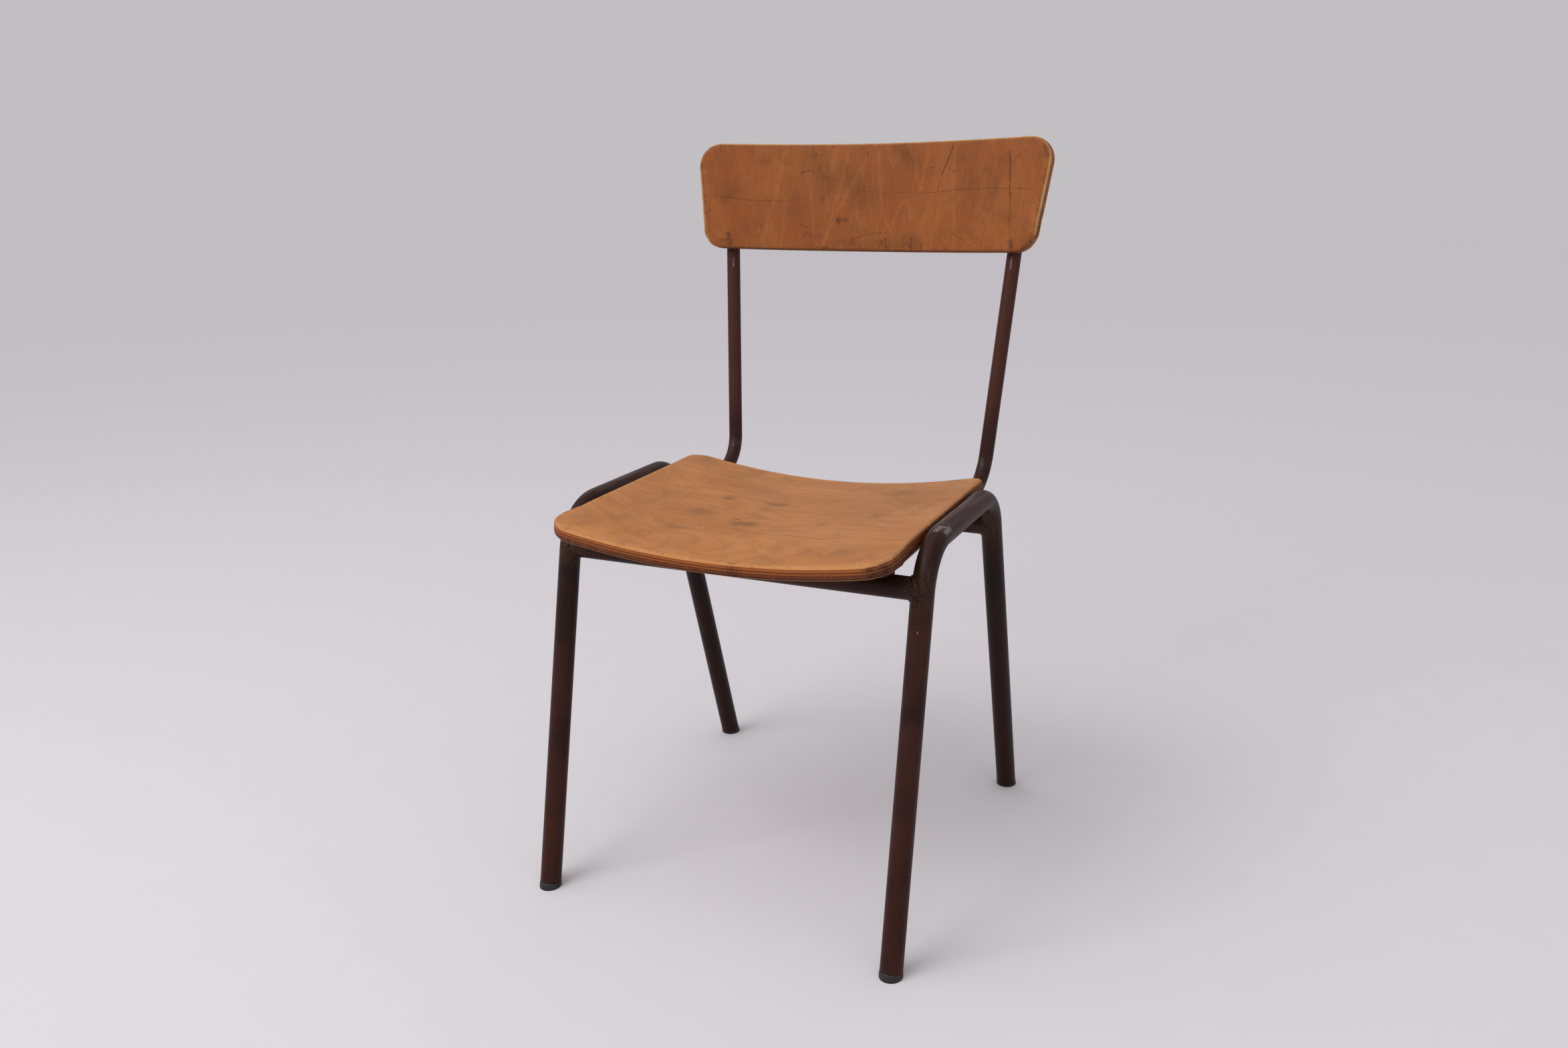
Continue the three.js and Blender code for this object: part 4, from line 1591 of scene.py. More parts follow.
@dataclass
class SmallParts:
    """The foot glides, the upright caps and the screws."""

    plastic: bpy.types.Material
    steel: bpy.types.Material
    seat_rows: tuple[float, float] = (-96.0, 78.0)
    board_heights: tuple[float, float] = (816.2, 746.2)
    screw_bite: float = 8.0
    slot_size: tuple[float, float, float] = (12.0, 1.1, 2.4)
    cut_below: float = 5.0

    def build(self, board_back: Vector) -> None:
        """Makes and dresses every small part.

        Args:
            board_back: The way square to the backboard, backwards.
        """
        for side in Side:
            for end in End:
                self._glide(side, end)
            self._cap(side)
            for number, y in enumerate(self.seat_rows, 1):
                slope = PLAN.bearer_height(0) - PLAN.bearer_height(1)
                direction = Vector((0, slope, 1)).normalized()
                axis = Vector((side.value * PLAN.bearer_half_spacing, y, PLAN.bearer_height(y)))
                self._screw(f"seat_fixing_{side.label}_{number}",
                            f"seat_screw_{side.label}_{number}", axis, direction)
            for number, height in enumerate(self.board_heights, 1):
                along = PLAN.upright_direction(side)
                ahead = -board_back
                direction = (ahead - along * ahead.dot(along)).normalized()
                self._screw(f"back_fixing_{side.label}_{number}",
                            f"back_screw_{side.label}_{number}",
                            PLAN.upright_point(side, height), direction)

    def _glide(self, side: Side, end: End) -> None:
        """Turns a glide and trims it level with the floor.

        Args:
            side: Which side frame.
            end: Its front or rear leg.
        """
        top = PLAN.glide_height - PLAN.gap
        profile = ((12.0, -self.cut_below), (13.0, -self.cut_below + 1), (13.0, 1.5),
                   (12.85, 3.2), (12.8, top - 0.9), (12.3, top - 0.2), (11.6, top),
                   (10.4, top), (10.4, top + 2.5), (10.7, top + 3.1), (10.7, top + 4.4),
                   (10.4, top + 5.0), (10.4, top + 20.0))
        glide = TurnedPiece(f"foot_glide_{end.value}_{side.label}", profile, 48).turn()
        Bench.stand(glide, PLAN.leg_direction(side, end), placed(PLAN.foot(side, end)))
        Bench.take(glide)
        bpy.ops.object.mode_set(mode="EDIT")
        bpy.ops.mesh.select_all(action="SELECT")
        bpy.ops.mesh.bisect(plane_co=(0, 0, 0), plane_no=(0, 0, 1), use_fill=True,
                            clear_inner=True, threshold=0.001 * MM)
        bpy.ops.object.mode_set(mode="OBJECT")
        dress(glide, self.plastic, "black_plastic", f"{end.value}_glide_{side.label}")

    def _cap(self, side: Side) -> None:
        """Turns the domed plug in an upright's top.

        Args:
            side: Which upright.
        """
        gap = PLAN.gap
        dome = [(9.0 * math.cos(a), gap + 1.5 + 3.0 * math.sin(a))
                for a in (math.radians(step * 12) for step in range(1, 8))]
        profile = [(6.4, -12.0), (7.2, -10.0), (7.2, gap), (8.6, gap), (9.0, gap + 0.4),
                   (9.0, gap + 1.5), *dome]
        cap = TurnedPiece(f"upright_cap_{side.label}", profile, 40).turn()
        Bench.stand(cap, PLAN.upright_direction(side),
                    placed(PLAN.upright_point(side, PLAN.upright_top)))
        dress(cap, self.plastic, "black_plastic", f"upright_plug_{side.label}")

    def _screw(self, name: str, node: str, axis: Vector, direction: Vector) -> None:
        """Turns a round-headed screw, cuts its slot and drives it through a tube.

        Args:
            name: The piece's name.
            node: The solid that it replaces.
            axis: Where it crosses the tube's axis, in millimetres.
            direction: The way that it is driven.
        """
        length = 2 * PLAN.bearer_radius + 2 * PLAN.gap + self.screw_bite - PLAN.gap
        profile = ((1.3, -2.6), (2.6, -2.4), (3.6, -1.9), (4.2, -1.1), (4.4, -0.4), (4.3, 0.0),
                   (2.0, 0.0), (2.0, length - 2.0), (0.5, length - 0.1))
        screw = TurnedPiece(name, profile, 28).turn()
        Bench.clear()
        bpy.ops.mesh.primitive_cube_add(size=MM, location=(0, 0, -2.6 * MM))
        bpy.ops.transform.resize(value=self.slot_size)
        blade = Bench.settle("slot_blade")
        Bench.modify(screw, "BOOLEAN", object=blade, operation="DIFFERENCE", solver="EXACT")
        bpy.data.objects.remove(blade)
        Bench.smooth(screw, 35)
        head = axis - direction * (PLAN.bearer_radius + PLAN.gap)
        Bench.stand(screw, direction, placed(head))
        dress(screw, self.steel, "screw_steel", node)


# The boards


def keep(piece: bpy.types.Object, name: str, values: np.ndarray) -> None:
    """Keeps numbers on a piece's points for its material.

    Args:
        piece: The piece.
        name: The attribute's name.
        values: One number, or one row of three numbers, for each point.
    """
    kind = "FLOAT_VECTOR" if values.ndim == 2 else "FLOAT"
    attribute = piece.data.attributes.new(name, kind, "POINT")
    key = "vector" if values.ndim == 2 else "value"
    attribute.data.foreach_set(key, values.astype(np.float32).ravel())


def rim_distance(outline: np.ndarray, plan: np.ndarray) -> np.ndarray:
    """How far each place lies from a board's outline.

    Args:
        outline: Points round the outline, in millimetres.
        plan: The places, one row each.

    Returns:
        The distances in millimetres.
    """
    nearest = np.full(len(plan), np.inf)
    for point in outline:
        nearest = np.minimum(nearest, np.hypot(*(plan - point).T))
    return nearest


@dataclass
class Board:
    """What the seat and the backboard share: making, painting and dressing."""

    finish: WornPly
    stains_and_shade: tuple[Stroke, ...]
    wear: tuple[Stroke, ...]

    def dress_board(self, board: PlywoodBoard, slot: str, node: str) -> None:
        """Makes a board, keeps what its material reads and dresses it.

        Args:
            board: The board's form.
            slot: The record's material slot.
            node: The solid that it replaces.
        """
        piece, sheet = board.make()
        keep(piece, "ply_place", sheet * MM)
        plan = sheet[:, :2]
        rim = plan[np.abs(sheet[:, 2]) < 0.5]
        keep(piece, "rim_distance", rim_distance(rim, plan))
        front = (sheet[:, 2] > -board.thickness / 2 + 1).astype(float)
        # Real marks together with painted shade along some edges.
        keep(piece, "stain_and_shade", shaded(plan, self.stains_and_shade) * (0.3 + 0.7 * front))
        # Wear, with a painted highlight on the backboard's top arris.
        keep(piece, "wear", shaded(plan, self.wear))
        dress(piece, self.finish.build(), slot, node)


@dataclass
class SeatBoard(Board):
    """The dished seat, rolled down a little at its front edge."""

    half_width: float = 202.5
    left_flare: float = 0.4
    right_flare: float = 5.2
    flare_length: float = 40.0
    thickness: float = 15.0
    front_y: float = -197.0
    front_corner_y: float = -199.0
    rear_y: float = 147.0
    rear_corner_y: float = 141.0
    front_dish: float = 21.5
    rear_dish: float = 24.0
    roll_start: float = -100.0
    roll_drop: float = 6.0
    arris: float = 3.0
    corner_radii: tuple[float, ...] = (30.0, 24.0, 24.0, 30.0)
    cells: tuple[int, int] = (176, 148)

    def __post_init__(self) -> None:
        """Works out the heights of the seat's edge over the two cross rails."""
        self.over_front = PLAN.cross_point(Side.LEFT, End.FRONT).y
        self.over_rear = PLAN.cross_point(Side.LEFT, End.REAR).y
        self.edge_front = (PLAN.bearer_height(self.over_front)
                           + self._over_bearer(self.front_dish) + self._roll(self.over_front))
        self.edge_rear = PLAN.bearer_height(self.over_rear) + self._over_bearer(self.rear_dish)

    def _over_bearer(self, dish: float) -> float:
        """From a bearer's axis up to the edge of a seat dished to a depth.

        Args:
            dish: How deep the seat is dished.

        Returns:
            The rise in millimetres.
        """
        reach = PLAN.bearer_half_spacing
        slope = 2 * dish * reach / self.half_width ** 2
        top = (PLAN.bearer_radius + PLAN.gap + self.thickness) * math.hypot(1, slope)
        return top + dish * (1 - (reach / self.half_width) ** 2)

    def _roll(self, y: float) -> float:
        """How far the front has rolled down."""
        share = max(self.roll_start - y, 0) / (self.roll_start - self.front_y)
        return self.roll_drop * share ** 2

    def _top(self, x: float, y: float) -> float:
        """The height of the seat's top.

        Args:
            x: The place across.
            y: The place along.

        Returns:
            The height above the floor.
        """
        share = (y - self.over_front) / (self.over_rear - self.over_front)
        dish = self.front_dish + (self.rear_dish - self.front_dish) * share
        edge = self.edge_front + (self.edge_rear - self.edge_front) * share - self._roll(y)
        return edge - dish * (1 - (x / self.half_width) ** 2)

    def face(self, x: float, y: float) -> tuple[Vector, Vector, tuple[float, float]]:
        """The seat's top surface.

        Args:
            x: The place across the plan.
            y: The place along the plan.

        Returns:
            The point, the normal there, and the place once the plan is flared and bowed.
        """
        flare = self._ease(PLAN.front_corner_y - y, 0, self.flare_length)
        flare *= self.left_flare if x > 0 else self.right_flare
        wide = x * (1 + flare / self.half_width)
        across = 1 - (x / self.half_width) ** 2
        forward = self._ease(-y, -self.roll_start, -self.front_corner_y)
        backward = self._ease(y, 0, self.rear_corner_y)
        deep = y + across * (forward * (self.front_y - self.front_corner_y)
                             + backward * (self.rear_y - self.rear_corner_y))
        step = 0.5
        slope_x = (self._top(wide + step, deep) - self._top(wide - step, deep)) / (2 * step)
        slope_y = (self._top(wide, deep + step) - self._top(wide, deep - step)) / (2 * step)
        normal = Vector((-slope_x, -slope_y, 1)).normalized()
        return Vector((wide, deep, self._top(wide, deep))), normal, (wide, deep)

    @staticmethod
    def _ease(value: float, low: float, high: float) -> float:
        """Goes smoothly from 0 to 1 between two values."""
        share = min(max((value - low) / (high - low), 0.0), 1.0)
        return share * share * (3 - 2 * share)

    def build(self) -> None:
        """Makes and dresses the seat."""
        w, f, r = self.half_width, self.front_corner_y, self.rear_corner_y
        outline = RoundedOutline([(w, f), (w, r), (-w, r), (-w, f)], self.corner_radii,
                                 across_share=0.16, along_share=0.2)
        board = PlywoodBoard("seat_plywood", outline, self.thickness, self.arris, self.cells,
                             self.face, SEAT_CHIPS)
        self.dress_board(board, "seat_plywood", "seat_board")


@dataclass
class BackBoard(Board):
    """The backboard, bowed round the sitter's back and leaning with the uprights."""

    height: float = 139.0
    top_half_width: float = 246.3
    bottom_half_width: float = 227.6
    thickness: float = 12.0
    bow: float = 26.0
    centre_height: float = 780.2
    tilt: float = 0.5
    arris: float = 3.0
    trim: float = 0.65
    corner_radii: tuple[float, ...] = (27.0, 30.0, 30.0, 27.0)
    cells: tuple[int, int] = (220, 76)

    def __post_init__(self) -> None:
        """Works out how the board leans where it lies on the uprights."""
        contact = PLAN.upright_point(Side.LEFT, self.centre_height)
        slope = 2 * self.bow * contact.x / self.top_half_width ** 2
        lean = math.atan(PLAN.lean_slope + PLAN.splay_slope * slope)
        self.up = Vector((0, math.sin(lean), math.cos(lean)))
        self.back = Vector((0, math.cos(lean), -math.sin(lean)))
        depth = (PLAN.bearer_radius + PLAN.gap + self.thickness) * math.hypot(1, slope)
        self.centre = (Vector((0, contact.y, self.centre_height))
                       - self.back * (depth + self._depth(contact.x)))

    def _depth(self, x: float) -> float:
        """How far the bow carries the board back."""
        return self.bow * (1 - (x / self.top_half_width) ** 2)

    def face(self, x: float, y: float) -> tuple[Vector, Vector, tuple[float, float]]:
        """The board's front surface.

        Args:
            x: The place across the plan.
            y: The place up the plan.

        Returns:
            The point, the normal there, and the same place.
        """
        tilt = math.radians(self.tilt)
        across = x * math.cos(tilt) + y * math.sin(tilt)
        high = y * math.cos(tilt) - x * math.sin(tilt)
        slope = -2 * self.bow * across / self.top_half_width ** 2
        sideways = (Vector((1, 0, 0)) + self.back * slope).normalized()
        normal = sideways.cross(self.up).normalized()
        point = self.centre + self.up * high + self.back * self._depth(across)
        point.x = across
        return point, normal, (x, y)

    def build(self) -> None:
        """Makes and dresses the backboard."""
        half = self.height / 2
        top, bottom = self.top_half_width, self.bottom_half_width
        outline = RoundedOutline([(bottom, -half), (top, half), (-top, half), (-bottom, -half)],
                                 self.corner_radii, across_share=0.16, along_share=0.3)
        board = PlywoodBoard("back_plywood", outline, self.thickness, self.arris, self.cells,
                             self.face, BACK_CHIPS, trim=self.trim)
        self.dress_board(board, "back_plywood", "back_board")


# What the boards have been through, as lines and spots on their plans, with painted shade and a
# painted highlight along some edges

SEAT_CHIPS = (
    Stroke(((172, -199),), 4, 0.6), Stroke(((184, -196.7),), 4, 1.4),
    Stroke(((195, -189),), 4, 1.2), Stroke(((202, -175),), 5, 0.9),
    Stroke(((202.5, -140),), 8, 0.5), Stroke(((202.5, -60),), 10, 0.4),
    Stroke(((-150, -201),), 8, 0.5), Stroke(((60, -199),), 6, 0.6),
    Stroke(((204, 60),), 9, 0.6), Stroke(((201, 139),), 5, 0.8))

SEAT_FIGURE = (
    Stroke(((-64.6, -100.6), (-23.8, -96.2), (0, -103), (45.3, -100.6), (80.6, -106.6),
            (101.2, -110.5), (128.2, -130.3))),
    Stroke(((83.3, -106.3), (108.8, -106.5), (129.3, -125.6), (128.9, -139))),
    Stroke(((-85.1, 20.3), (-33, 26.1), (2.2, 67.9), (31.7, 82.9), (90.8, 67.6))),
    Stroke(((-172.2, 126.1), (-146.3, 64.2), (-116, 36.6), (-68.8, 32))),
    Stroke(((-187.8, -36.2), (-152.3, -99.7), (-111.2, -131.8), (-70.4, -153.7))),
    Stroke(((-39.9, -129.7), (-16.8, -147.9), (-20.2, -165.7), (-49.6, -172.5))),
    Stroke(((108.8, -52.7), (143.1, -67.2), (186.8, -118.7), (190.8, -152.7))),
    Stroke(((38, -112.9), (80.7, -135.4), (119.2, -166.2))),
    Stroke(((-190, 60), (-168, 0), (-140, -50), (-100, -84))))

SEAT_FINISH = WornPly(
    name="worn_seat_ply", half=7.5, grain_along_x=True,
    base=(0.40, 0.160, 0.049), pale=(0.46, 0.195, 0.066), deep=(0.24, 0.084, 0.023),
    golden=(0.28, 0.100, 0.030), grey=(0.13, 0.066, 0.033), worn=(0.56, 0.27, 0.10),
    bared=(0.46, 0.18, 0.050), back=(0.26, 0.105, 0.036),
    figure=SEAT_FIGURE, figure_share=0.22, rim_rub=0.30, sweep=110.0,
    layers=(PlyLayer(7.5, (0.42, 0.155, 0.042)), PlyLayer(5.6, (0.17, 0.042, 0.010)),
            PlyLayer(4.8, (0.33, 0.098, 0.022)), PlyLayer(2.6, (0.085, 0.020, 0.005)),
            PlyLayer(1.4, (0.24, 0.066, 0.014)), PlyLayer(-1.0, (0.055, 0.013, 0.004)),
            PlyLayer(-2.0, (0.135, 0.036, 0.009)), PlyLayer(-4.2, (0.042, 0.011, 0.004)),
            PlyLayer(-5.2, (0.080, 0.023, 0.007))),
    scratches=(Stroke(((-64.6, -100.6), (-23.8, -96.2), (0, -103))),
               Stroke(((45.3, -100.6), (80.6, -106.6), (101.2, -110.5))),
               Stroke(((-150, 20), (-128, 12)))),
    scores=(Stroke(((-40, -60), (-30, -63))), Stroke(((24.2, -194.2), (32.8, -193)))))

SEAT_STAINS_AND_SHADE = (
    Stroke(((-82.8, 9.6),), 9, 0.75), Stroke(((-24, 12), (-12, 15)), 9, 0.6),
    Stroke(((-26, -76), (-12, -72)), 9, 0.85), Stroke(((-87, -57.1),), 13, 0.4),
    Stroke(((122.7, -14.6),), 15, 0.45), Stroke(((111.3, 86.3),), 20, 0.5),
    Stroke(((139.7, 36.4),), 20, 0.45), Stroke(((-84.3, -123.8),), 13, 0.4),
    Stroke(((-146, -127.5),), 12, 0.45), Stroke(((137.2, -152),), 14, 0.4),
    Stroke(((94, -150.9),), 12, 0.4), Stroke(((-179.1, 116.4),), 16, 0.35),
    Stroke(((150, 80), (90, 20)), 45, 0.22), Stroke(((-120, 90), (-60, 60)), 30, 0.2),
    Stroke(((178, -199), (187, -196), (195, -189), (201, -179), (203, -168)), 4.0, 0.55),
    # Painted shade: this stroke darkens the +X side edge partly for grime and partly for the
    # shadowed gap under the edge.
    Stroke(((203, -168), (202.8, -140), (202.5, 125)), 3.6, 0.8),
    Stroke(((181, -197.8), (187, -195.8)), 2.6, 0.95),
    Stroke(((193, -191), (197, -186)), 3.0, 0.9),
    Stroke(((201, -177), (202.5, -171)), 3.0, 0.85), Stroke(((179, -194), (183, -192)), 2.0, 0.5),
    Stroke(((-204, -160), (-203, 100)), 2.5, 0.5),
    Stroke(((28, -199),), 8, 0.6))

SEAT_WEAR = (
    Stroke(((-190, -190), (-100, -196), (60, -197), (180, -192)), 6, 0.7),
    Stroke(((-200, -160), (-202, 60)), 5, 0.5), Stroke(((-150, 140), (150, 142)), 4, 0.4))

BACK_CHIPS = (
    Stroke(((244, 9),), 3, 1.2), Stroke(((236, -30),), 8, 0.8),
    Stroke(((-224, -58),), 6, 0.7), Stroke(((230, -58),), 7, 0.7),
    Stroke(((-236, -10),), 4, 0.6), Stroke(((20, -70),), 5, 0.5))

BACK_FIGURE = (
    Stroke(((-87.6, 67.6), (-86.1, 40.5), (-81.4, 0), (-75.6, -40.5), (-68.8, -66))),
    Stroke(((-69.7, 51.6), (-66.8, 37.5), (-60.4, 30.4), (-54.2, 33), (-53.4, 43.4),
            (-50.2, 63.4))),
    Stroke(((-32.8, 60), (-36.7, 28.6), (-46.1, -8.5), (-61, -63.6))),
    Stroke(((-61, -63.6), (-47.8, -28.9), (-29, 8.6), (-14.1, 38.5), (-4.7, 17), (6.8, -28.4))),
    Stroke(((21.2, 64.9), (24.6, 47.6), (31.6, 38), (38, 47.5), (48.8, 63.6), (57.9, 52.5),
            (63.9, 27.5), (70, 9.4), (74.7, 30), (77.7, 58.9))),
    Stroke(((9.2, 59.1), (13.3, 19.9), (21.8, -22.5), (32.9, -44), (40.3, -20), (48.3, -5.9),
            (56.3, -8.6), (60.9, -28.5))),
    Stroke(((-123.5, 57.6), (-129.6, 11.4), (-142.2, -36), (-146.3, -65.6))),
    Stroke(((112.7, 61.9), (113.6, 12.5), (119.1, -28.6), (120.8, -67.5))),
    Stroke(((-116.2, -0.5), (-118.1, -35.5), (-119.7, -65))),
    Stroke(((-20, -8.5), (-9.9, -34.4), (-1.7, -59.9))),
    Stroke(((40.5, 60), (33, 44), (27, 56))))

BACK_FINISH = WornPly(
    name="worn_back_ply", half=6.0, grain_along_x=False,
    base=(0.228, 0.0600, 0.0100), pale=(0.285, 0.0860, 0.0165), deep=(0.132, 0.0320, 0.0055),
    golden=(0.40, 0.150, 0.036), grey=(0.058, 0.022, 0.009), worn=(0.38, 0.150, 0.045),
    bared=(0.56, 0.34, 0.15), back=(0.19, 0.060, 0.016),
    figure=BACK_FIGURE, figure_share=0.11, rim_rub=0.12, sweep=30.0,
    layers=(PlyLayer(6.0, (0.33, 0.110, 0.028)), PlyLayer(4.6, (0.10, 0.030, 0.009)),
            PlyLayer(4.1, (0.33, 0.115, 0.034)), PlyLayer(1.7, (0.07, 0.021, 0.007)),
            PlyLayer(0.9, (0.30, 0.105, 0.031)), PlyLayer(-1.3, (0.09, 0.027, 0.009)),
            PlyLayer(-2.1, (0.46, 0.230, 0.085)), PlyLayer(-4.4, (0.13, 0.046, 0.016))),
    hairlines=(
        Stroke(((-115.7, -5), (-90.8, -1.5), (-65.8, 2.1), (-47.6, 5), (-16.3, 7.1),
                (27.2, 6.1), (76.7, 4))),
        Stroke(((192.8, 39.5), (175, 25.5))), Stroke(((196.2, -49), (198.8, -66.5))),
        Stroke(((94.4, 10), (90.9, -3.5), (89.4, -16.4))),
        Stroke(((-142, -36), (-129, -24), (-121, -6))), Stroke(((100.3, 14), (105.9, 16.6))),
        Stroke(((-60, -22), (-48, -30))), Stroke(((-10, 30), (2, 26)))),
    scratches=(
        Stroke(((-218.6, 0), (-188.3, -3.4), (-163.2, -6), (-115.7, -5))),
        Stroke(((76.7, 4), (98, 5.6), (119, 7.5), (166.3, 8.1), (220.4, 6))),
        Stroke(((207.3, 53.1), (192.8, 39.5))),
        Stroke(((192.2, -3.1), (193.4, -30), (196.2, -49))),
        Stroke(((98.8, 29.1), (94.4, 10))),
        Stroke(((-93.4, -36.5), (-80.2, -40.6))), Stroke(((-87.7, -45.4), (-77.8, -52.1))),
        Stroke(((-88.7, -52), (-78.2, -45))),
        Stroke(((117.6, -45.4), (131.6, -53.6), (143.5, -62.5))),
        Stroke(((209, -8.5), (227, -10.6))),
        Stroke(((-20.8, -54.1), (0.6, -48.4), (16.2, -46), (33.1, -46))),
        Stroke(((-77.2, 56.4), (-80.2, 44.6))), Stroke(((78.6, 36.6), (87.7, 35.6))),
        Stroke(((107.7, 34), (116.8, 29)))),
    scores=(
        Stroke(((186.6, 52.5), (189.2, 29), (192.2, -3.1))),
        Stroke(((111.2, 62.1), (103.8, 40.1), (98.8, 29.1))),
        Stroke(((-41.8, -27), (-40.3, -33.9))), Stroke(((-97.8, 31), (-93.5, 32.4))),
        Stroke(((-6.8, 57.6), (-5.5, 53.5))), Stroke(((-19.3, -54.1), (-19.7, -60))),
        Stroke(((22.3, -55.1), (22.2, -60))), Stroke(((27.3, -53), (28.2, -65.1))),
        Stroke(((62.8, -52.1), (64, -66.4))), Stroke(((59.1, -59.4), (64.2, -65))),
        Stroke(((237.2, 10.1), (244, 9.4)))))

BACK_STAINS_AND_SHADE = (
    Stroke(((-82.3, 52), (-67.8, 29), (-54.7, 17.4)), 16, 0.42),
    Stroke(((-36.8, 31.5), (-17.1, 17.4), (-3.2, 0)), 16, 0.36),
    Stroke(((41.4, 58.5), (57.9, 44.4)), 11, 0.4), Stroke(((-154.2, 46), (-146.1, 45.5)), 6, 0.45),
    Stroke(((-195.3, -50.9), (-191.8, -64.9)), 3.4, 1.0),
    Stroke(((-203.5, -58.5), (-191.1, -58.6)), 3, 0.7),
    Stroke(((196.8, -56), (198.6, -67)), 2.8, 1.0), Stroke(((-41, -30),), 3.5, 0.9),
    Stroke(((-38.7, -29), (-28.4, -30)), 2.5, 0.6), Stroke(((-90.2, 34), (-86.5, 34.6)), 2, 0.7),
    Stroke(((192, -28),), 8, 0.35), Stroke(((-65, -2),), 5, 0.5),
    Stroke(((-30, -60), (70, -60)), 9, 0.3), Stroke(((235, -20), (229, -48)), 4, 0.5),
    Stroke(((-105, 20), (-110, -10)), 18, 0.2), Stroke(((130, 40), (150, 10)), 20, 0.15),
    Stroke(((243, 9),), 3, 0.9),
    # Painted shade: the next two strokes darken the rounded bottom edge, which faces down, and the
    # right-hand end, which faces away from the light.
    Stroke(((-205, -69.5), (-60, -69.5), (110, -69.5), (212, -69.5)), 3.2, 0.75),
    Stroke(((212, -67), (223, -56), (228, -30), (237.5, 38), (231, 58)), 1.8, 0.75),
    Stroke(((-221, -56), (-235, 20), (-238, 40)), 1.5, 0.5),
    Stroke(((-60, -66), (-54, -66)), 2.5, 0.9), Stroke(((-8, -64), (-6, -68)), 1.8, 0.9),
    Stroke(((30, -62), (31, -68)), 1.8, 0.9), Stroke(((77, -60), (78, -68)), 1.8, 0.8),
    Stroke(((110, -66), (118, -68)), 2.5, 0.6))

BACK_WEAR_AND_HIGHLIGHT = (
    Stroke(((230.6, -12.5), (227.5, -25.5), (225.2, -44)), 5, 0.9),
    Stroke(((238, 40), (234, 0), (226, -40)), 4, 0.8),
    Stroke(((192.2, -54), (193.3, -62)), 2.5, 0.9),
    Stroke(((-236, 30), (-228, -30), (-222, -56)), 5, 0.7),
    # Painted highlight: this stroke round the top arris is partly wear and partly the bright line
    # where the rounded top edge catches the light.
    Stroke(((242.6, 40), (238, 56), (229, 66), (216, 69.5), (-216, 69.5),
            (-229, 66), (-238, 56), (-242.6, 40), (-230, -48)), 1.9, 0.95),
    Stroke(((230, -48), (242.6, 40)), 1.6, 0.45),
    Stroke(((-210, -50), (-200, -56)), 5, 0.5))


# Floor, light and camera


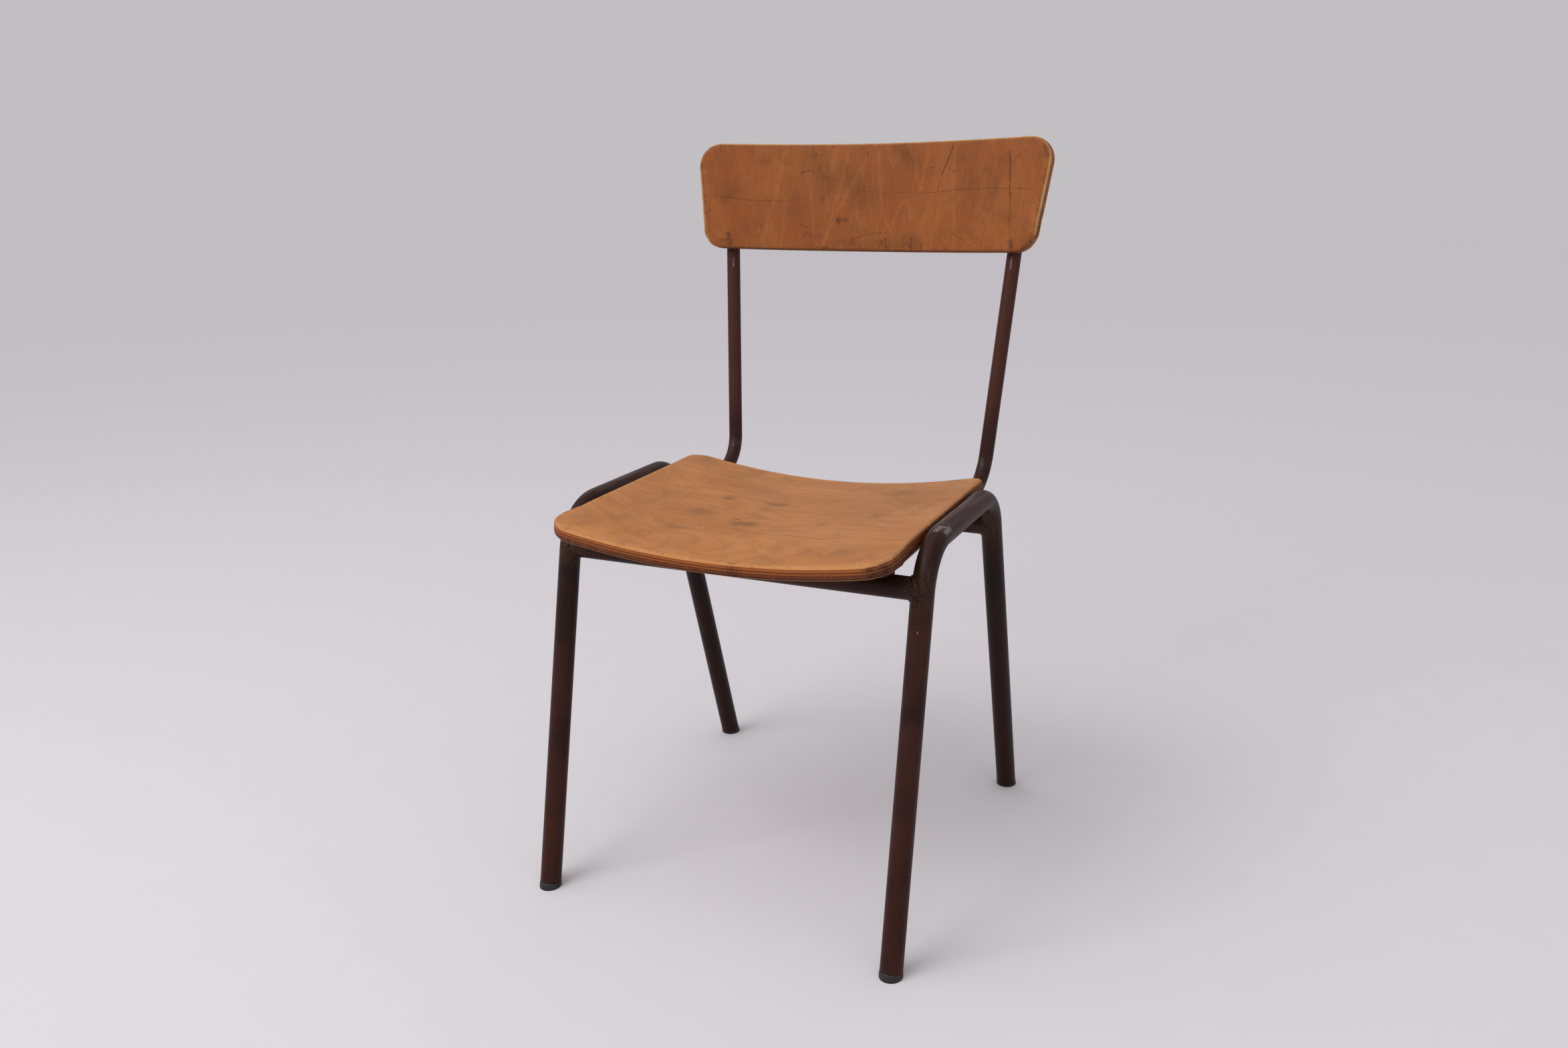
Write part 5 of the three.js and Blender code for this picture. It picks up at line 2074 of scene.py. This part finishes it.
@dataclass
class Studio:
    """A plain pale floor, soft light and the photograph's viewpoint."""

    lens: float = 28.276
    sensor: float = 36.0
    azimuth: float = 25.8157
    elevation: float = 16.1894
    roll: float = -1.4811
    viewpoint: tuple[float, float, float] = (612.265, -1275.254, 822.390)
    floor_size: float = 24.0
    floor_colour: tuple[float, float, float] = (0.62, 0.60, 0.62)
    floor_shade: tuple[float, float, float] = (0.57, 0.55, 0.57)
    room_colour: tuple[float, float, float] = (0.93, 0.90, 0.94)
    room_glow: float = 0.58
    sky_strength: float = 1.15
    sky_spread: float = 75.0
    sky_direction: tuple[float, float, float] = (0.35, 0.45, -1.0)
    aim: tuple[float, float, float] = (0.0, 0.0, 0.45)

    def build(self) -> None:
        """Sets the floor, the lights, the surroundings and the camera."""
        bpy.context.scene.view_settings.view_transform = "Standard"
        self._floor()
        self._surroundings()
        self._lamp("key_light", (-1.3, -2.0, 2.8), 1.8, 45)
        self._lamp("fill_light", (2.4, -1.6, 1.7), 2.4, 10)
        self._sky_light()
        self._camera()

    def _floor(self) -> None:
        """Lays a wide floor just under the feet."""
        Bench.clear()
        bpy.ops.mesh.primitive_plane_add(size=self.floor_size, location=(0, 0, 0))
        floor = Bench.settle("pale_floor")
        sheet = FinishSheet("pale_floor")
        spot = sheet.place()
        grain = sheet.cloud(spot, 0.02, 3)
        colour = sheet.mix(grain * 0.3, self.floor_colour, self.floor_shade)
        floor.data.materials.append(sheet.finish({"Base Color": colour}, {"Roughness": 0.7},
                                                 grain, 0.05 * MM))

    def _surroundings(self) -> None:
        """Fills the room with even pale light."""
        world = bpy.data.worlds.new("pale_room")
        world.use_nodes = True
        glow = world.node_tree.nodes["Background"]
        glow.inputs["Color"].default_value = (*self.room_colour, 1)
        glow.inputs["Strength"].default_value = self.room_glow
        bpy.context.scene.world = world

    def _lamp(self, name: str, place: tuple[float, float, float], size: float,
              watts: float) -> None:
        """Hangs a soft square lamp that faces the seat.

        Args:
            name: The lamp's name.
            place: Where it hangs, in metres.
            size: Its width, in metres.
            watts: Its power.
        """
        light = bpy.data.lights.new(name, "AREA")
        light.size = size
        light.energy = watts
        lamp = bpy.data.objects.new(name, light)
        bpy.context.scene.collection.objects.link(lamp)
        lamp.location = place
        aim = Vector(self.aim) - Vector(place)
        lamp.rotation_euler = aim.to_track_quat("-Z", "Y").to_euler()

    def _sky_light(self) -> None:
        """Adds a broad even light from above the front, so that the floor is pale to its end."""
        light = bpy.data.lights.new("sky_light", "SUN")
        light.energy = self.sky_strength
        light.angle = math.radians(self.sky_spread)
        lamp = bpy.data.objects.new("sky_light", light)
        bpy.context.scene.collection.objects.link(lamp)
        lamp.rotation_euler = Vector(self.sky_direction).to_track_quat("-Z", "Y").to_euler()

    def _camera(self) -> None:
        """Puts the camera where the photograph was taken."""
        a, e, r = (math.radians(v) for v in (self.azimuth, self.elevation, self.roll))
        right = Vector((math.cos(a), math.sin(a), 0))
        back = Vector((math.sin(a) * math.cos(e), -math.cos(a) * math.cos(e), math.sin(e)))
        up = back.cross(right)
        across = right * math.cos(r) + up * math.sin(r)
        above = up * math.cos(r) - right * math.sin(r)
        data = bpy.data.cameras.new("photo_camera")
        data.sensor_width = self.sensor
        data.sensor_fit = "HORIZONTAL"
        data.lens = self.lens
        camera = bpy.data.objects.new("photo_camera", data)
        bpy.context.scene.collection.objects.link(camera)
        turn = Matrix((across, above, back)).transposed().to_4x4()
        camera.matrix_world = Matrix.Translation(placed(Vector(self.viewpoint))) @ turn
        bpy.context.scene.camera = camera


def write_sizes() -> None:
    """Updates the view layer."""
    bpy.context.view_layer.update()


def main() -> None:
    """Builds the chair piece by piece, then its surroundings."""
    logging.basicConfig(level=logging.INFO, format="%(message)s")
    SteelFrame(BrownPaint().build()).build()
    seat = SeatBoard(SEAT_FINISH, SEAT_STAINS_AND_SHADE, SEAT_WEAR)
    seat.build()
    back = BackBoard(BACK_FINISH, BACK_STAINS_AND_SHADE, BACK_WEAR_AND_HIGHLIGHT)
    back.build()
    SmallParts(BlackPlastic().build(), RustySteel().build()).build(back.back)
    Studio().build()
    write_sizes()


if __name__ == "__main__":
    main()
